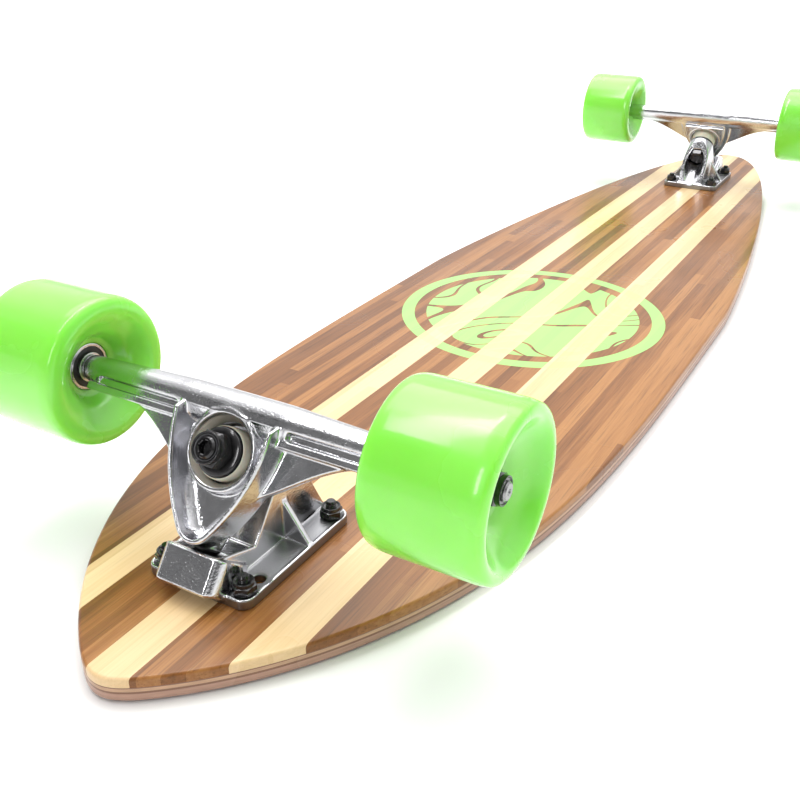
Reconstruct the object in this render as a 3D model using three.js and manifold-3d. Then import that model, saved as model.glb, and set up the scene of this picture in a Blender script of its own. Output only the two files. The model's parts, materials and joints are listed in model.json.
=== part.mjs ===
// A 40 inch pintail longboard, lying upside down on its grip tape with the wheels up.
// Millimetres, +Z up, +Y along the board, +X across it.
// The origin is on the resting surface, under the middle of the board.

import * as THREE from 'three';
import { mergeVertices } from 'three/addons/utils/BufferGeometryUtils.js';
import Module from 'manifold-3d';

const wasm = await Module();
wasm.setup();

// ---- Driving dimensions ----

const deck = {
  length: 1016,
  halfWidth: 117,
  widestY: -18,        // the widest place lies a little on the nose side of the middle
  nose: { power: 4.6, root: 0.81 },
  tail: { power: 1.22, root: 0.5 },
  thickness: 11.2,
  edgeRound: 2,
  grip: 0.8,
  steps: 15,           // outline points on each quarter
};
deck.top = deck.grip + deck.thickness;

const truckNear = { name: 'near', y: -412, turn: 0 };
const truckFar = { name: 'far', y: 360, turn: Math.PI };

const steerAngle = THREE.MathUtils.degToRad(53);   // steering axis above the deck
const axleHeight = 66.9;                           // axle above the deck face
const steeringDrop = 1.4;                          // steering frame's origin below the deck face
const axle = {
  radius: 4,
  halfLength: 120.6,
  s: (axleHeight + steeringDrop) * Math.sin(steerAngle),
  n: (axleHeight + steeringDrop) * Math.cos(steerAngle),
};

const bolts = {
  halfX: 20.65,        // 41.3 mm across
  halfY: 31.75,        // 63.5 mm along
  spareY: -22.2,
  radius: 2.5,
  holeRadius: 2.9,
  headRadius: 4.6,
  headDepth: 2.6,
  headRecess: 0.2,
  nutFlats: 9.5,
  nutHeight: 5.6,
  end: 12.6,           // bolt's end above the deck face
};

// The cast baseplate: a shallow tray with a rim, ribs and the slanting spine on top.
const plate = { halfX: 27, halfY: 39, corner: 5.5, rim: 5, rimWidth: 1.3, floor: 4.2 };
const rib = { y: 8, halfThick: 1.5, foot: 11, head: 12.4, top: 24.1 };

// The steering frame: s runs up the steering axis, n is square to it and points outwards,
// along the kingpin. Both are measured from a point just under the middle of the bolt pattern.
const pivot = { n: 34, ball: -9.8, ballRadius: 5 };
const pivotCup = { radius: 8, bore: 5.4, bottom: -16.4, top: -5 };
const housing = { halfX: 16, front: 44, back: 22, chamfer: 3.4, foot: -20.5 };
const kingpin = { s: 36.2, radius: 4.75, headBack: 0.4, headSeat: 6.3, headFlats: 14, end: 58.4 };
const seat = { n: 18.4, halfX: 12.5, washer: 1.6 };
const bushing = { radius: 11.8, bore: 5.1, edge: 0.8, boardEnd: 32.3, roadStart: 36.5, roadEnd: 46.7 };
const web = { low: 32.6, high: 36.2, hole: 6.5 };
const cup = { s: 36.8, bore: 12.9, mouth: 15.4, radius: 17.4, flareStart: 43, flareEnd: 46 };
const roadWasher = { radius: 11.1, rim: 10.2, height: 1.9 };
const kingpinNut = { flats: 14.3, hexHeight: 6.2, collarRadius: 6.9, height: 8.4 };
const gap = 0.3;

// The hanger's face is a shield-shaped dish in the steering frame. Its rim lies in a plane
// that leans back along s, and its flat web carries the kingpin hole.
const shield = { halfTop: 24.6, top: 54, tip: 8.5, tipCentre: 5.8, flank: 36, swell: 22, back: 34 };
const dish = { rim: 1.7, floor: 40, round: 5 };
const rimPlane = { slope: 0.11, s: -2.7, n: 46 };
const backWall = { inset: 5.5, s: 5, low: 28.4 };
const skirt = { radius: 15.6, low: 27.6 };
const bar = { half: 87, end: 6, middle: 8.6, middleHalf: 24 };
const gusset = { foot: 12, low: 16, tip: 68, top: 54, back: 36.4, front: 40.4 };
const flange = { start: 22, end: 80, low: 45.4, high: 49, back: 38, front: 47.4 };
const groove = { start: 27, end: 77, depth: 1.1, back: 44.5, front: 52 };

// Sides given to each round shape.
const sides = { wheel: 28, cup: 28, stack: 18, bar: 20, bearing: 16, small: 10, nose: 16, hole: 8 };

const wheel = {
  radius: 35,
  inner: 75.2,         // the faces, from the middle of the axle
  outer: 125.7,
  edge: 4.5,
  seatRadius: 11.2,
  shoulder: 9,
  hub: 13.6,
  waist: 22,           // half-way up the recess of each face
  innerLip: 27,
  outerLip: 29.6,
};
const bearing = { radius: 11, bore: 4.2, width: 7, innerX: 88.5, outerX: 105.5 };
const axleNut = { start: 112.9, end: 119.4, flats: 12.7 };

// ---- Materials ----

const paint = (color, roughness, metalness) => (
  new THREE.MeshStandardMaterial({ color, roughness, metalness }));
const materials = {
  wood: paint(0x9a6a3f, 0.45, 0),
  grip: paint(0x1b1b1c, 0.95, 0),
  aluminium: paint(0xc9cacd, 0.18, 1),
  urethane: paint(0x7fe04a, 0.3, 0),
  bushing: paint(0xd9d3bd, 0.5, 0),
  black: paint(0x141416, 0.35, 0.8),
  steel: paint(0x9a9a9d, 0.3, 1),
  plastic: paint(0x202022, 0.6, 0),
};

// ---- Solids: closed three.js geometry, joined and cut ----

function toSolid(geometry) {
  const bare = geometry.clone();
  bare.deleteAttribute('normal');
  bare.deleteAttribute('uv');
  const merged = mergeVertices(bare, 1e-4);
  const index = merged.index.array;
  const triangles = [];
  for (let i = 0; i < index.length; i += 3) {
    const [a, b, c] = [index[i], index[i + 1], index[i + 2]];
    if (a !== b && b !== c && c !== a) triangles.push(a, b, c);
  }
  const mesh = new wasm.Mesh({
    numProp: 3,
    vertProperties: new Float32Array(merged.attributes.position.array),
    triVerts: new Uint32Array(triangles),
  });
  return new wasm.Manifold(mesh);
}

function toGeometry(solid) {
  const mesh = solid.getMesh();
  const geometry = new THREE.BufferGeometry();
  geometry.setAttribute('position', new THREE.BufferAttribute(mesh.vertProperties, 3));
  geometry.setIndex(new THREE.BufferAttribute(mesh.triVerts, 1));
  geometry.computeVertexNormals();
  return geometry;
}

const join = (...solids) => solids.reduce((a, b) => a.add(b));
const cut = (body, ...tools) => tools.reduce((a, b) => a.subtract(b), body);

function box(x0, x1, y0, y1, z0, z1) {
  const geometry = new THREE.BoxGeometry(x1 - x0, y1 - y0, z1 - z0);
  geometry.translate((x0 + x1) / 2, (y0 + y1) / 2, (z0 + z1) / 2);
  return toSolid(geometry);
}

// A profile of [radius, height] points turned about +Z.
function turned(profile, segments = sides.stack) {
  const points = profile.map(([r, h]) => new THREE.Vector2(r, h));
  const geometry = new THREE.LatheGeometry(points, segments);
  geometry.rotateX(Math.PI / 2);
  return toSolid(geometry);
}

function rod(radius, z0, z1, segments = sides.stack) {
  return turned([[0, z0], [radius, z0], [radius, z1], [0, z1]], segments);
}

function ring(bore, radius, z0, z1, segments = sides.stack) {
  return turned([[bore, z0], [radius, z0], [radius, z1], [bore, z1], [bore, z0]], segments);
}

// A six-sided bar along +Z, given by the distance across its flats.
const hexagon = (flats, z0, z1) => rod(flats / Math.sqrt(3), z0, z1, 6);

// An outline in X and Y, extruded along +Z.
function slab(shape, z0, z1, curveSegments = 6) {
  const geometry = new THREE.ExtrudeGeometry(shape, { depth: z1 - z0, bevelEnabled: false, curveSegments });
  geometry.translate(0, 0, z0);
  return toSolid(geometry);
}

const polygon = (points) => new THREE.Shape(points.map(([x, y]) => new THREE.Vector2(x, y)));

// An outline in Y and Z, extruded along X.
function sideProfile(points, x0, x1) {
  const solid = slab(polygon(points), x0, x1);
  return place(solid, new THREE.Matrix4().makeBasis(
    new THREE.Vector3(0, 1, 0), new THREE.Vector3(0, 0, 1), new THREE.Vector3(1, 0, 0)));
}

function place(solid, matrix) {
  const geometry = toGeometry(solid);
  geometry.applyMatrix4(matrix);
  return toSolid(geometry);
}

const move = (solid, x, y, z) => place(solid, new THREE.Matrix4().makeTranslation(x, y, z));
const alongX = (solid) => place(solid, new THREE.Matrix4().makeRotationY(Math.PI / 2));
const alongY = (solid) => place(solid, new THREE.Matrix4().makeRotationX(-Math.PI / 2));

// Places in the steering frame: the kingpin's own line and the middle of the hanger's cup.
const onKingpin = (solid) => move(solid, 0, kingpin.s, 0);
const onCup = (solid) => move(solid, 0, cup.s, 0);

function fromSteering(solid) {
  const frame = new THREE.Matrix4().makeRotationX(steerAngle);
  frame.setPosition(0, 0, -steeringDrop);
  return place(solid, frame);
}

// The same solid on the other side of the board's middle plane.
function mirrored(solid) {
  const geometry = toGeometry(solid);
  geometry.applyMatrix4(new THREE.Matrix4().makeScale(-1, 1, 1));
  const index = geometry.index.array;
  for (let i = 0; i < index.length; i += 3) {
    [index[i + 1], index[i + 2]] = [index[i + 2], index[i + 1]];
  }
  return toSolid(geometry);
}

function roundedRectangle(halfX, halfY, radius) {
  const shape = new THREE.Shape();
  shape.absarc(halfX - radius, halfY - radius, radius, 0, Math.PI / 2);
  shape.absarc(radius - halfX, halfY - radius, radius, Math.PI / 2, Math.PI);
  shape.absarc(radius - halfX, radius - halfY, radius, Math.PI, 1.5 * Math.PI);
  shape.absarc(halfX - radius, radius - halfY, radius, 1.5 * Math.PI, 2 * Math.PI);
  return shape;
}

function named(name, solid, material) {
  const mesh = new THREE.Mesh(toGeometry(solid), material);
  mesh.name = name;
  return mesh;
}

// The four hole centres of a truck's bolt pattern.
const boltPlaces = [[1, -1], [-1, -1], [1, 1], [-1, 1]].map(([x, y]) => [x * bolts.halfX, y * bolts.halfY]);

// ---- Deck ----

// Half the deck's width at y: two curves that meet at the widest place. The nose end is
// full and then closes quickly, and the tail end is drawn out long.
function deckHalfWidth(y) {
  const onNose = y < deck.widestY;
  const end = onNose ? deck.nose : deck.tail;
  const reach = onNose ? deck.widestY + deck.length / 2 : deck.length / 2 - deck.widestY;
  const along = Math.min(1, Math.abs(y - deck.widestY) / reach);
  return deck.halfWidth * (1 - along ** end.power) ** end.root;
}

function deckOutline(inset) {
  const right = [];
  const half = deck.length / 2;
  for (let i = 0; i <= 2 * deck.steps; i++) {
    const y = -half * Math.cos((Math.PI * i) / (2 * deck.steps));
    right.push([deckHalfWidth(y), y]);
  }
  const left = right.slice(1, -1).reverse().map(([x, y]) => [-x, y]);
  const scaleX = (deck.halfWidth - inset) / deck.halfWidth;
  const scaleY = (half - inset) / half;
  return polygon([...right, ...left].map(([x, y]) => [x * scaleX, y * scaleY]));
}

function deckBoltHoles(z0, z1) {
  const holes = [];
  for (const truck of [truckNear, truckFar]) {
    for (const [x, y] of boltPlaces) {
      const countersink = turned([
        [0, z0], [bolts.headRadius + gap, z0], [bolts.headRadius + gap, bolts.headRecess + 2 * gap],
        [bolts.holeRadius, bolts.headDepth + gap], [bolts.holeRadius, z1], [0, z1],
      ], sides.hole);
      holes.push(move(countersink, x, truck.y + y, 0));
    }
  }
  return holes;
}

function makeDeck() {
  const shape = deckOutline(deck.edgeRound);
  const geometry = new THREE.ExtrudeGeometry(shape, {
    depth: deck.thickness - 2 * deck.edgeRound,
    bevelThickness: deck.edgeRound,
    bevelSize: deck.edgeRound,
    bevelSegments: 1,
  });
  geometry.translate(0, 0, deck.grip + deck.edgeRound);
  return cut(toSolid(geometry), ...deckBoltHoles(-1, deck.top + 1));
}

function makeGripTape() {
  const sheet = slab(deckOutline(deck.edgeRound + 0.5), 0, deck.grip);
  return cut(sheet, ...deckBoltHoles(-1, deck.top));
}

// ---- Truck hardware, in the truck's own frame on the deck face ----

function makeBolt() {
  const head = bolts.headRecess - deck.top;
  const neck = bolts.headDepth - deck.top;
  return turned([
    [0, head], [bolts.headRadius, head], [bolts.headRadius, head + 0.4], [bolts.radius, neck],
    [bolts.radius, bolts.end - 0.6], [bolts.radius - 0.6, bolts.end], [0, bolts.end],
  ], sides.hole);
}

function makeBoltNut() {
  const bottom = plate.floor + gap;
  const body = hexagon(bolts.nutFlats, bottom, bottom + bolts.nutHeight * 0.75);
  const collar = turned([
    [0, bottom + 1], [4.5, bottom + 1], [4.5, bottom + bolts.nutHeight - 1],
    [3.7, bottom + bolts.nutHeight], [0, bottom + bolts.nutHeight],
  ], sides.small);
  return cut(join(body, collar), rod(bolts.radius + gap / 2, 0, bolts.end, sides.hole));
}

// ---- Baseplate ----

// A point of the steering frame as [y, z] in the truck's own frame.
function steeringPoint(along, out) {
  return [
    along * Math.cos(steerAngle) - out * Math.sin(steerAngle),
    along * Math.sin(steerAngle) + out * Math.cos(steerAngle) - steeringDrop,
  ];
}

// Side view of the cast spine: pivot housing, low channel wall, kingpin boss.
function spineSide() {
  const toe = 1 - plate.halfY;
  const heel = plate.halfY - 0.5;
  const bossTop = kingpin.s + seat.halfX;
  const bossBack = [29.2, 21.7];
  return [
    [toe, 0],
    steeringPoint(housing.foot - 0.5, housing.front - 1.2),
    steeringPoint(housing.foot + 0.5, housing.front),
    steeringPoint(-6, housing.front),
    steeringPoint(-5, housing.front - 1),
    steeringPoint(-4, 38),
    steeringPoint(2.6, seat.n),
    steeringPoint(bossTop, seat.n),
    steeringPoint(bossTop, seat.n - 4),
    bossBack,
    [heel, plate.floor],
    [heel, 0],
  ];
}

// The boss seen along the kingpin: straight sides and a round top about the kingpin.
function bossOutline() {
  const shape = new THREE.Shape();
  shape.moveTo(-seat.halfX, -60);
  shape.lineTo(seat.halfX, -60);
  shape.absarc(0, kingpin.s, seat.halfX, 0, Math.PI);
  return shape;
}

// The pivot housing seen down the steering axis is a flat nose with chamfered corners. Its
// lower half stands on the plate, square to the deck.
function pivotHousing() {
  const { halfX, front, back, chamfer, foot } = housing;
  const nose = fromSteering(slab(polygon([
    [-halfX, back], [halfX, back], [halfX, front - chamfer], [halfX - chamfer, front],
    [chamfer - halfX, front], [-halfX, front - chamfer],
  ]), foot, 0));
  const hollowTop = fromSteering(box(-halfX - 1, halfX + 1, 0, 60, -5, 5));
  const standing = box(-halfX - 1, halfX + 1, -60, -16, plate.floor - 1, 40);
  const toe = box(-halfX - 1, halfX + 1, -60, -30, 0, plate.floor);
  return join(cut(nose, hollowTop).intersect(standing), nose.intersect(toe));
}

function sideRib() {
  const outer = plate.halfX - 1;
  const outline = slab(polygon([
    [rib.foot, plate.floor - 1], [outer, plate.floor - 1], [outer, plate.rim],
    [rib.head, rib.top], [rib.foot, rib.top],
  ]), -rib.halfThick, rib.halfThick);
  const upright = new THREE.Matrix4().makeRotationX(Math.PI / 2);
  return move(place(outline, upright), 0, rib.y, 0);
}

function makeBaseplate() {
  const foot = slab(roundedRectangle(plate.halfX, plate.halfY, plate.corner), 0, plate.rim);
  const trayOutline = roundedRectangle(
    plate.halfX - plate.rimWidth, plate.halfY - plate.rimWidth, plate.corner - plate.rimWidth);
  const tray = slab(trayOutline, plate.floor, plate.rim + 1);
  const boss = sideProfile(spineSide(), -seat.halfX, seat.halfX).intersect(
    fromSteering(slab(bossOutline(), -80, 80)));
  const body = join(cut(foot, tray), boss, pivotHousing(), sideRib(), mirrored(sideRib()));

  const channel = box(-10.7, 10.7, -5, 60, seat.n + 2, 41.5);
  const channelFloor = box(-30, 30, -60, 60, -20, plate.floor);
  const pivotBore = alongY(rod(pivotCup.radius + 0.1, pivotCup.bottom - 0.2, 10));
  const kingpinBore = rod(kingpin.radius + 0.15, -10, 30);
  const headPocket = rod(9, -60, kingpin.headSeat + gap);
  const holePlaces = [...boltPlaces, [bolts.halfX, bolts.spareY], [-bolts.halfX, bolts.spareY]];
  const holes = holePlaces.map(([x, y]) => move(rod(bolts.holeRadius, -1, 30, sides.hole), x, y, 0));
  return cut(
    body,
    cut(fromSteering(channel), channelFloor),
    fromSteering(move(pivotBore, 0, 0, pivot.n)),
    fromSteering(onKingpin(kingpinBore)),
    fromSteering(onKingpin(headPocket)),
    ...holes,
  );
}

// ---- Hanger, in the steering frame: X, s, n ----

// The shield: a round tip at the pivot end whose straight flanks swell out towards the
// axle. An inset draws the same outline further in.
function shieldOutline(inset) {
  const halfTop = shield.halfTop - inset;
  const tip = shield.tip - inset;
  const flank = THREE.MathUtils.degToRad(shield.flank);
  const x = tip * Math.cos(flank);
  const along = shield.tipCentre - tip * Math.sin(flank);
  const swellX = x + shield.swell * Math.sin(flank);
  const swellAlong = along + shield.swell * Math.cos(flank);
  const shape = new THREE.Shape();
  shape.moveTo(halfTop, shield.top);
  shape.bezierCurveTo(halfTop - 0.6, kingpin.s, swellX, swellAlong, x, along);
  shape.absarc(0, shield.tipCentre, tip, -flank, flank - Math.PI, true);
  shape.bezierCurveTo(-swellX, swellAlong, 0.6 - halfTop, kingpin.s, -halfTop, shield.top);
  return shape;
}

// Everything in front of the sloping plane of the shield's rim, to be cut away.
function aheadOfRim(drop) {
  const tool = box(-60, 60, -80, 120, 0, 60);
  const tilt = new THREE.Matrix4().makeRotationX(Math.atan(rimPlane.slope));
  tilt.setPosition(0, rimPlane.s, rimPlane.n - drop);
  return place(tool, tilt);
}

// The hollow inside the shield's rim, with a rounded foot to its walls.
function dishHollow() {
  const geometry = new THREE.ExtrudeGeometry(shieldOutline(dish.rim), {
    depth: 20,
    bevelThickness: dish.round,
    bevelSize: dish.round,
    bevelOffset: -dish.round,
    bevelSegments: 3,
    curveSegments: 6,
  });
  geometry.translate(0, 0, dish.floor + dish.round);
  return toSolid(geometry);
}

// The round bar that carries the axle: it swells to the middle, with a small end chamfer.
function hangerBar() {
  const { half, end, middle, middleHalf } = bar;
  const profile = [
    [0, -half], [end - 0.4, -half], [end, 0.4 - half], [middle, -middleHalf],
    [middle, middleHalf], [end, half - 0.4], [end - 0.4, half], [0, half],
  ];
  return move(alongX(turned(profile, sides.bar)), 0, axle.s, axle.n);
}

const grooveTool = () => box(
  groove.start, groove.end, flange.high, flange.high + groove.depth, groove.back, groove.front);

// The right side's thin web from the shield to the bar, with a flange under the bar.
function hangerGusset() {
  const { foot, low, tip, top, back, front } = gusset;
  const outline = new THREE.Shape();
  outline.moveTo(foot, low);
  outline.lineTo(foot + 7, low + 6.5);
  outline.bezierCurveTo(foot + 22, low + 15, tip - 22, low + 29.5, tip, low + 32);
  outline.lineTo(tip, top);
  outline.lineTo(foot, top);
  const edge = box(flange.start, flange.end, flange.low, flange.high, flange.back, flange.front);
  return cut(join(slab(outline, back, front), edge), grooveTool());
}

// The pivot nose: a cone that ends in the ball that sits in the pivot cup.
function hangerNose() {
  const { ball, ballRadius } = pivot;
  const profile = [[0, ball - ballRadius]];
  for (const degrees of [-60, -30, 0, 30]) {
    const angle = THREE.MathUtils.degToRad(degrees);
    profile.push([ballRadius * Math.cos(angle), ball + ballRadius * Math.sin(angle)]);
  }
  const root = ballRadius + 3.2;
  profile.push([ballRadius - 0.4, ball + 3.4], [ballRadius, -4.6], [ballRadius + 1.6, -2.6]);
  profile.push([root, 6], [root, 14], [0, 14]);
  const nose = move(alongY(turned(profile, sides.nose)), 0, 0, pivot.n);
  return nose.intersect(box(-20, 20, -40, 20, 0, dish.floor - 0.5));
}

function makeHanger() {
  const roomForHousing = box(-40, 40, -10, 4, 30, gusset.back + 0.1);
  const face = cut(slab(shieldOutline(0), shield.back, 60), aheadOfRim(0), roomForHousing);
  const backFill = slab(shieldOutline(backWall.inset), backWall.low, 44).intersect(
    box(-40, 40, backWall.s, shield.top, 20, 50));
  const dished = cut(join(face, backFill), dishHollow());

  const groovedBar = cut(hangerBar(), grooveTool(), mirrored(grooveTool()));
  const cupWall = cut(onCup(rod(cup.radius, web.low, 60, sides.cup)), aheadOfRim(2.4));
  const skirtWall = onKingpin(rod(skirt.radius, skirt.low, 40, sides.cup));
  const body = join(
    dished, groovedBar, hangerGusset(), mirrored(hangerGusset()), cupWall, skirtWall, hangerNose());

  const roadBore = onCup(turned([
    [0, web.high], [cup.bore, web.high], [cup.bore, cup.flareStart],
    [cup.mouth, cup.flareEnd], [cup.mouth, 70], [0, 70],
  ], sides.cup));
  const boardBore = onKingpin(rod(cup.bore, 10, web.low, sides.cup));
  const kingpinHole = onKingpin(rod(web.hole, 10, 60));
  const axleHole = move(alongX(rod(axle.radius + gap, -100, 100)), 0, axle.s, axle.n);
  return cut(body, roadBore, boardBore, kingpinHole, axleHole);
}

// ---- Kingpin stack, in the steering frame ----

function makeKingpin() {
  const shank = turned([
    [0, kingpin.headSeat - 1], [kingpin.radius, kingpin.headSeat - 1], [kingpin.radius, kingpin.end - 0.8],
    [kingpin.radius - 0.8, kingpin.end], [0, kingpin.end],
  ]);
  const head = hexagon(kingpin.headFlats, kingpin.headBack, kingpin.headSeat);
  const socket = hexagon(5.5, kingpin.end - 4, kingpin.end + 1);
  return onKingpin(cut(join(shank, head), socket));
}

function makeBushing(profile) {
  const closed = [[bushing.bore, profile[0][1]], ...profile, [bushing.bore, profile.at(-1)[1]]];
  return onKingpin(turned([...closed, closed[0]]));
}

function makeBoardBushing() {
  const low = seat.n + seat.washer + 2 * gap;
  const high = bushing.boardEnd;
  const { radius, edge } = bushing;
  return makeBushing([
    [radius - edge, low], [radius, low + edge], [radius, high - edge], [radius - edge, high],
  ]);
}

function makeRoadBushing() {
  const { radius, edge, roadStart, roadEnd } = bushing;
  return makeBushing([[radius, roadStart], [radius, roadEnd - edge], [radius - edge, roadEnd]]);
}

function makeBoardWasher() {
  const low = seat.n + gap;
  return onKingpin(ring(bushing.bore, seat.halfX - 0.3, low, low + seat.washer));
}

// The road washer is cupped: its rim slopes in over the bushing.
function makeRoadWasher() {
  const { radius, rim, height } = roadWasher;
  const low = bushing.roadEnd + gap;
  return onKingpin(turned([
    [bushing.bore, low], [radius - 0.2, low], [radius, low + 0.6], [rim, low + height],
    [bushing.bore, low + height], [bushing.bore, low],
  ]));
}

function makeKingpinNut() {
  const { flats, hexHeight, collarRadius, height } = kingpinNut;
  const low = bushing.roadEnd + gap + roadWasher.height + gap;
  const body = hexagon(flats, low, low + hexHeight);
  const collar = turned([
    [0, low + 1], [collarRadius, low + 1], [collarRadius, low + height - 1.8],
    [collarRadius - 0.7, low + height], [0, low + height],
  ]);
  return onKingpin(cut(join(body, collar), rod(kingpin.radius + 0.2, 0, 90)));
}

function makePivotCup() {
  const { radius, bore, bottom, top } = pivotCup;
  const { ball, ballRadius } = pivot;
  const floor = ball - ballRadius - gap;
  const outside = radius - gap;
  const profile = [
    [0, bottom], [outside - 0.7, bottom], [outside, bottom + 1], [outside, top],
    [bore + 0.4, top], [bore, ball + 1], [bore, ball - 1], [3.6, floor], [0, floor],
  ];
  return move(alongY(turned(profile)), 0, 0, pivot.n);
}

// ---- Axle and wheels, along X ----

function makeAxle() {
  const { radius, halfLength } = axle;
  return alongX(turned([
    [0, -halfLength], [radius - 0.7, -halfLength], [radius, 0.7 - halfLength],
    [radius, halfLength - 0.7], [radius - 0.7, halfLength], [0, halfLength],
  ], sides.small));
}

function makeWheel() {
  const { radius, inner, outer, edge, seatRadius, shoulder, hub, waist, innerLip, outerLip } = wheel;
  const innerSeat = bearing.innerX - 0.2;
  const outerSeat = bearing.outerX + bearing.width + 0.2;
  const cornerAt = (x, side, degrees) => {
    const angle = THREE.MathUtils.degToRad(degrees);
    return [radius - edge + edge * Math.cos(angle), x - side * edge + side * edge * Math.sin(angle)];
  };
  const innerSide = -1;
  const outerSide = 1;
  return alongX(turned([
    [seatRadius, innerSeat], [hub, innerSeat - 0.6], [waist, inner + 3.8],
    [innerLip - 1.6, inner + 0.6], [innerLip, inner],
    cornerAt(inner, innerSide, 65), cornerAt(inner, innerSide, 15),
    cornerAt(outer, outerSide, 15), cornerAt(outer, outerSide, 65),
    [outerLip, outer], [outerLip - 1.4, outer - 0.8], [waist, outer - 6.7],
    [hub, outerSeat + 1], [seatRadius, outerSeat],
    [seatRadius, bearing.outerX - gap], [shoulder, bearing.outerX - gap],
    [shoulder, bearing.innerX + bearing.width + gap], [seatRadius, bearing.innerX + bearing.width + gap],
    [seatRadius, innerSeat],
  ], sides.wheel));
}

function makeBearing(x) {
  const { radius, bore, width } = bearing;
  return alongX(turned([
    [bore, x], [radius, x], [radius, x + width], [bore, x + width], [bore, x],
  ], sides.bearing));
}

const makeSpacer = () => alongX(
  ring(bearing.bore, 5.6, bearing.innerX + bearing.width + gap, bearing.outerX - gap, sides.small));

function makeAxleNut() {
  const { start, end, flats } = axleNut;
  const body = hexagon(flats, start, end - 1.6);
  const collar = turned([[0, start + 1], [6, start + 1], [6, end - 1], [5.2, end], [0, end]], sides.small);
  return alongX(cut(join(body, collar), rod(axle.radius + gap / 2, start - 1, end + 1, sides.small)));
}

// ---- Assembly ----

// One side of an axle: side is +1 for the right wheel and -1 for the left.
function makeWheelSet(truckName, sideName, side) {
  const set = new THREE.Group();
  const label = `${truckName}_${sideName}`;
  set.add(named(`wheel_${label}`, makeWheel(), materials.urethane));
  set.add(named(`bearing_inner_${label}`, makeBearing(bearing.innerX), materials.steel));
  set.add(named(`bearing_outer_${label}`, makeBearing(bearing.outerX), materials.steel));
  set.add(named(`bearing_spacer_${label}`, makeSpacer(), materials.steel));
  set.add(named(`axle_nut_${label}`, makeAxleNut(), materials.black));
  if (side < 0) set.rotation.z = Math.PI;
  return set;
}

function makeTruck({ name, y, turn }) {
  const truck = new THREE.Group();
  truck.position.set(0, y, deck.top);
  truck.rotation.z = turn;
  truck.add(named(`baseplate_${name}`, makeBaseplate(), materials.aluminium));

  boltPlaces.forEach(([x, boltY], i) => {
    const bolt = named(`deck_bolt_${name}_${i + 1}`, makeBolt(), materials.black);
    const nut = named(`deck_nut_${name}_${i + 1}`, makeBoltNut(), materials.black);
    for (const piece of [bolt, nut]) {
      piece.position.set(x, boltY, 0);
      truck.add(piece);
    }
  });

  const steering = new THREE.Group();
  steering.rotation.x = steerAngle;
  steering.position.z = -steeringDrop;
  steering.add(named(`pivot_cup_${name}`, makePivotCup(), materials.plastic));
  steering.add(named(`kingpin_${name}`, makeKingpin(), materials.black));
  steering.add(named(`washer_board_${name}`, makeBoardWasher(), materials.black));
  steering.add(named(`bushing_board_${name}`, makeBoardBushing(), materials.bushing));
  steering.add(named(`hanger_${name}`, makeHanger(), materials.aluminium));
  steering.add(named(`bushing_road_${name}`, makeRoadBushing(), materials.bushing));
  steering.add(named(`washer_road_${name}`, makeRoadWasher(), materials.black));
  steering.add(named(`kingpin_nut_${name}`, makeKingpinNut(), materials.black));
  truck.add(steering);

  const running = new THREE.Group();
  running.position.z = axleHeight;
  running.add(named(`axle_${name}`, makeAxle(), materials.steel));
  running.add(makeWheelSet(name, 'right', 1));
  running.add(makeWheelSet(name, 'left', -1));
  truck.add(running);
  return truck;
}

const skateboard = new THREE.Group();
skateboard.add(named('deck', makeDeck(), materials.wood));
skateboard.add(named('grip_tape', makeGripTape(), materials.grip));
skateboard.add(makeTruck(truckNear));
skateboard.add(makeTruck(truckFar));

export default skateboard;
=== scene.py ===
"""Looks of an upturned pintail longboard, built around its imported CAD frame.

Shapes are worked out in millimetres in the frame of the part they belong to (a truck, its
steering axis, an axle) and put in their place in metres. Every size that the CAD part fixes
is read from its nodes; the numbers below are the details that the CAD part doesn't carry.
"""

import json
import math

import bpy
import numpy as np
from mathutils import Matrix, Vector


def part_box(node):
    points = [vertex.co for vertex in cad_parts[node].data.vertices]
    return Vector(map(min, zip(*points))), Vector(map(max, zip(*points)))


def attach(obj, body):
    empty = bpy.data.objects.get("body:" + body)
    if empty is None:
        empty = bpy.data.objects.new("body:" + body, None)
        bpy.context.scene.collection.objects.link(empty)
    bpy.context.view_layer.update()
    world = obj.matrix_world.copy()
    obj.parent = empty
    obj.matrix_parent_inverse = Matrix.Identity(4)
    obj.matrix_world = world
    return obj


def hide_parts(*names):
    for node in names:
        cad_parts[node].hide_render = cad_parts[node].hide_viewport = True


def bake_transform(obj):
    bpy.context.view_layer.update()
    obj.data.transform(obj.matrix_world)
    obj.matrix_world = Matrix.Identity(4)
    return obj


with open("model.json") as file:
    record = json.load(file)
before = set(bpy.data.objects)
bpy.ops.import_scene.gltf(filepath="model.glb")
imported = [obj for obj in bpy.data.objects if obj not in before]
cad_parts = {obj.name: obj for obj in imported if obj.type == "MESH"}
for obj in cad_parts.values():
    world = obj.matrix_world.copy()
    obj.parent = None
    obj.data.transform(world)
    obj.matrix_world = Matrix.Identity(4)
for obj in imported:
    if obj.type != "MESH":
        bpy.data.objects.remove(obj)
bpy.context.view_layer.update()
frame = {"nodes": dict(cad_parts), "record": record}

MM = 0.001

# ---- Frames and sizes read from the CAD ----


def extent(node, place):
    """A CAD node's lowest and highest corner in the frame `place`, in millimetres."""
    inverse = place.inverted()
    points = np.array([inverse @ vertex.co for vertex in frame["nodes"][node].data.vertices])
    return points.min(0) / MM, points.max(0) / MM


def joint_named(name):
    return next(joint for joint in frame["record"]["behaviour"]["joints"] if joint["name"] == name)


deck_low, deck_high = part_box("deck")
DECK_TOP = deck_high.z / MM
DECK_BOTTOM = deck_low.z / MM
DECK_HALF_LENGTH = (deck_high.y - deck_low.y) / 2 / MM
DECK_HALF_WIDTH = (deck_high.x - deck_low.x) / 2 / MM

steer_axis = Vector(joint_named("steer_near")["axis"])
STEER_ANGLE = math.atan2(steer_axis.z, abs(steer_axis.y))
STEERING_DROP = 1.4


TURNS = {"near": 0, "far": math.pi}


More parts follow.
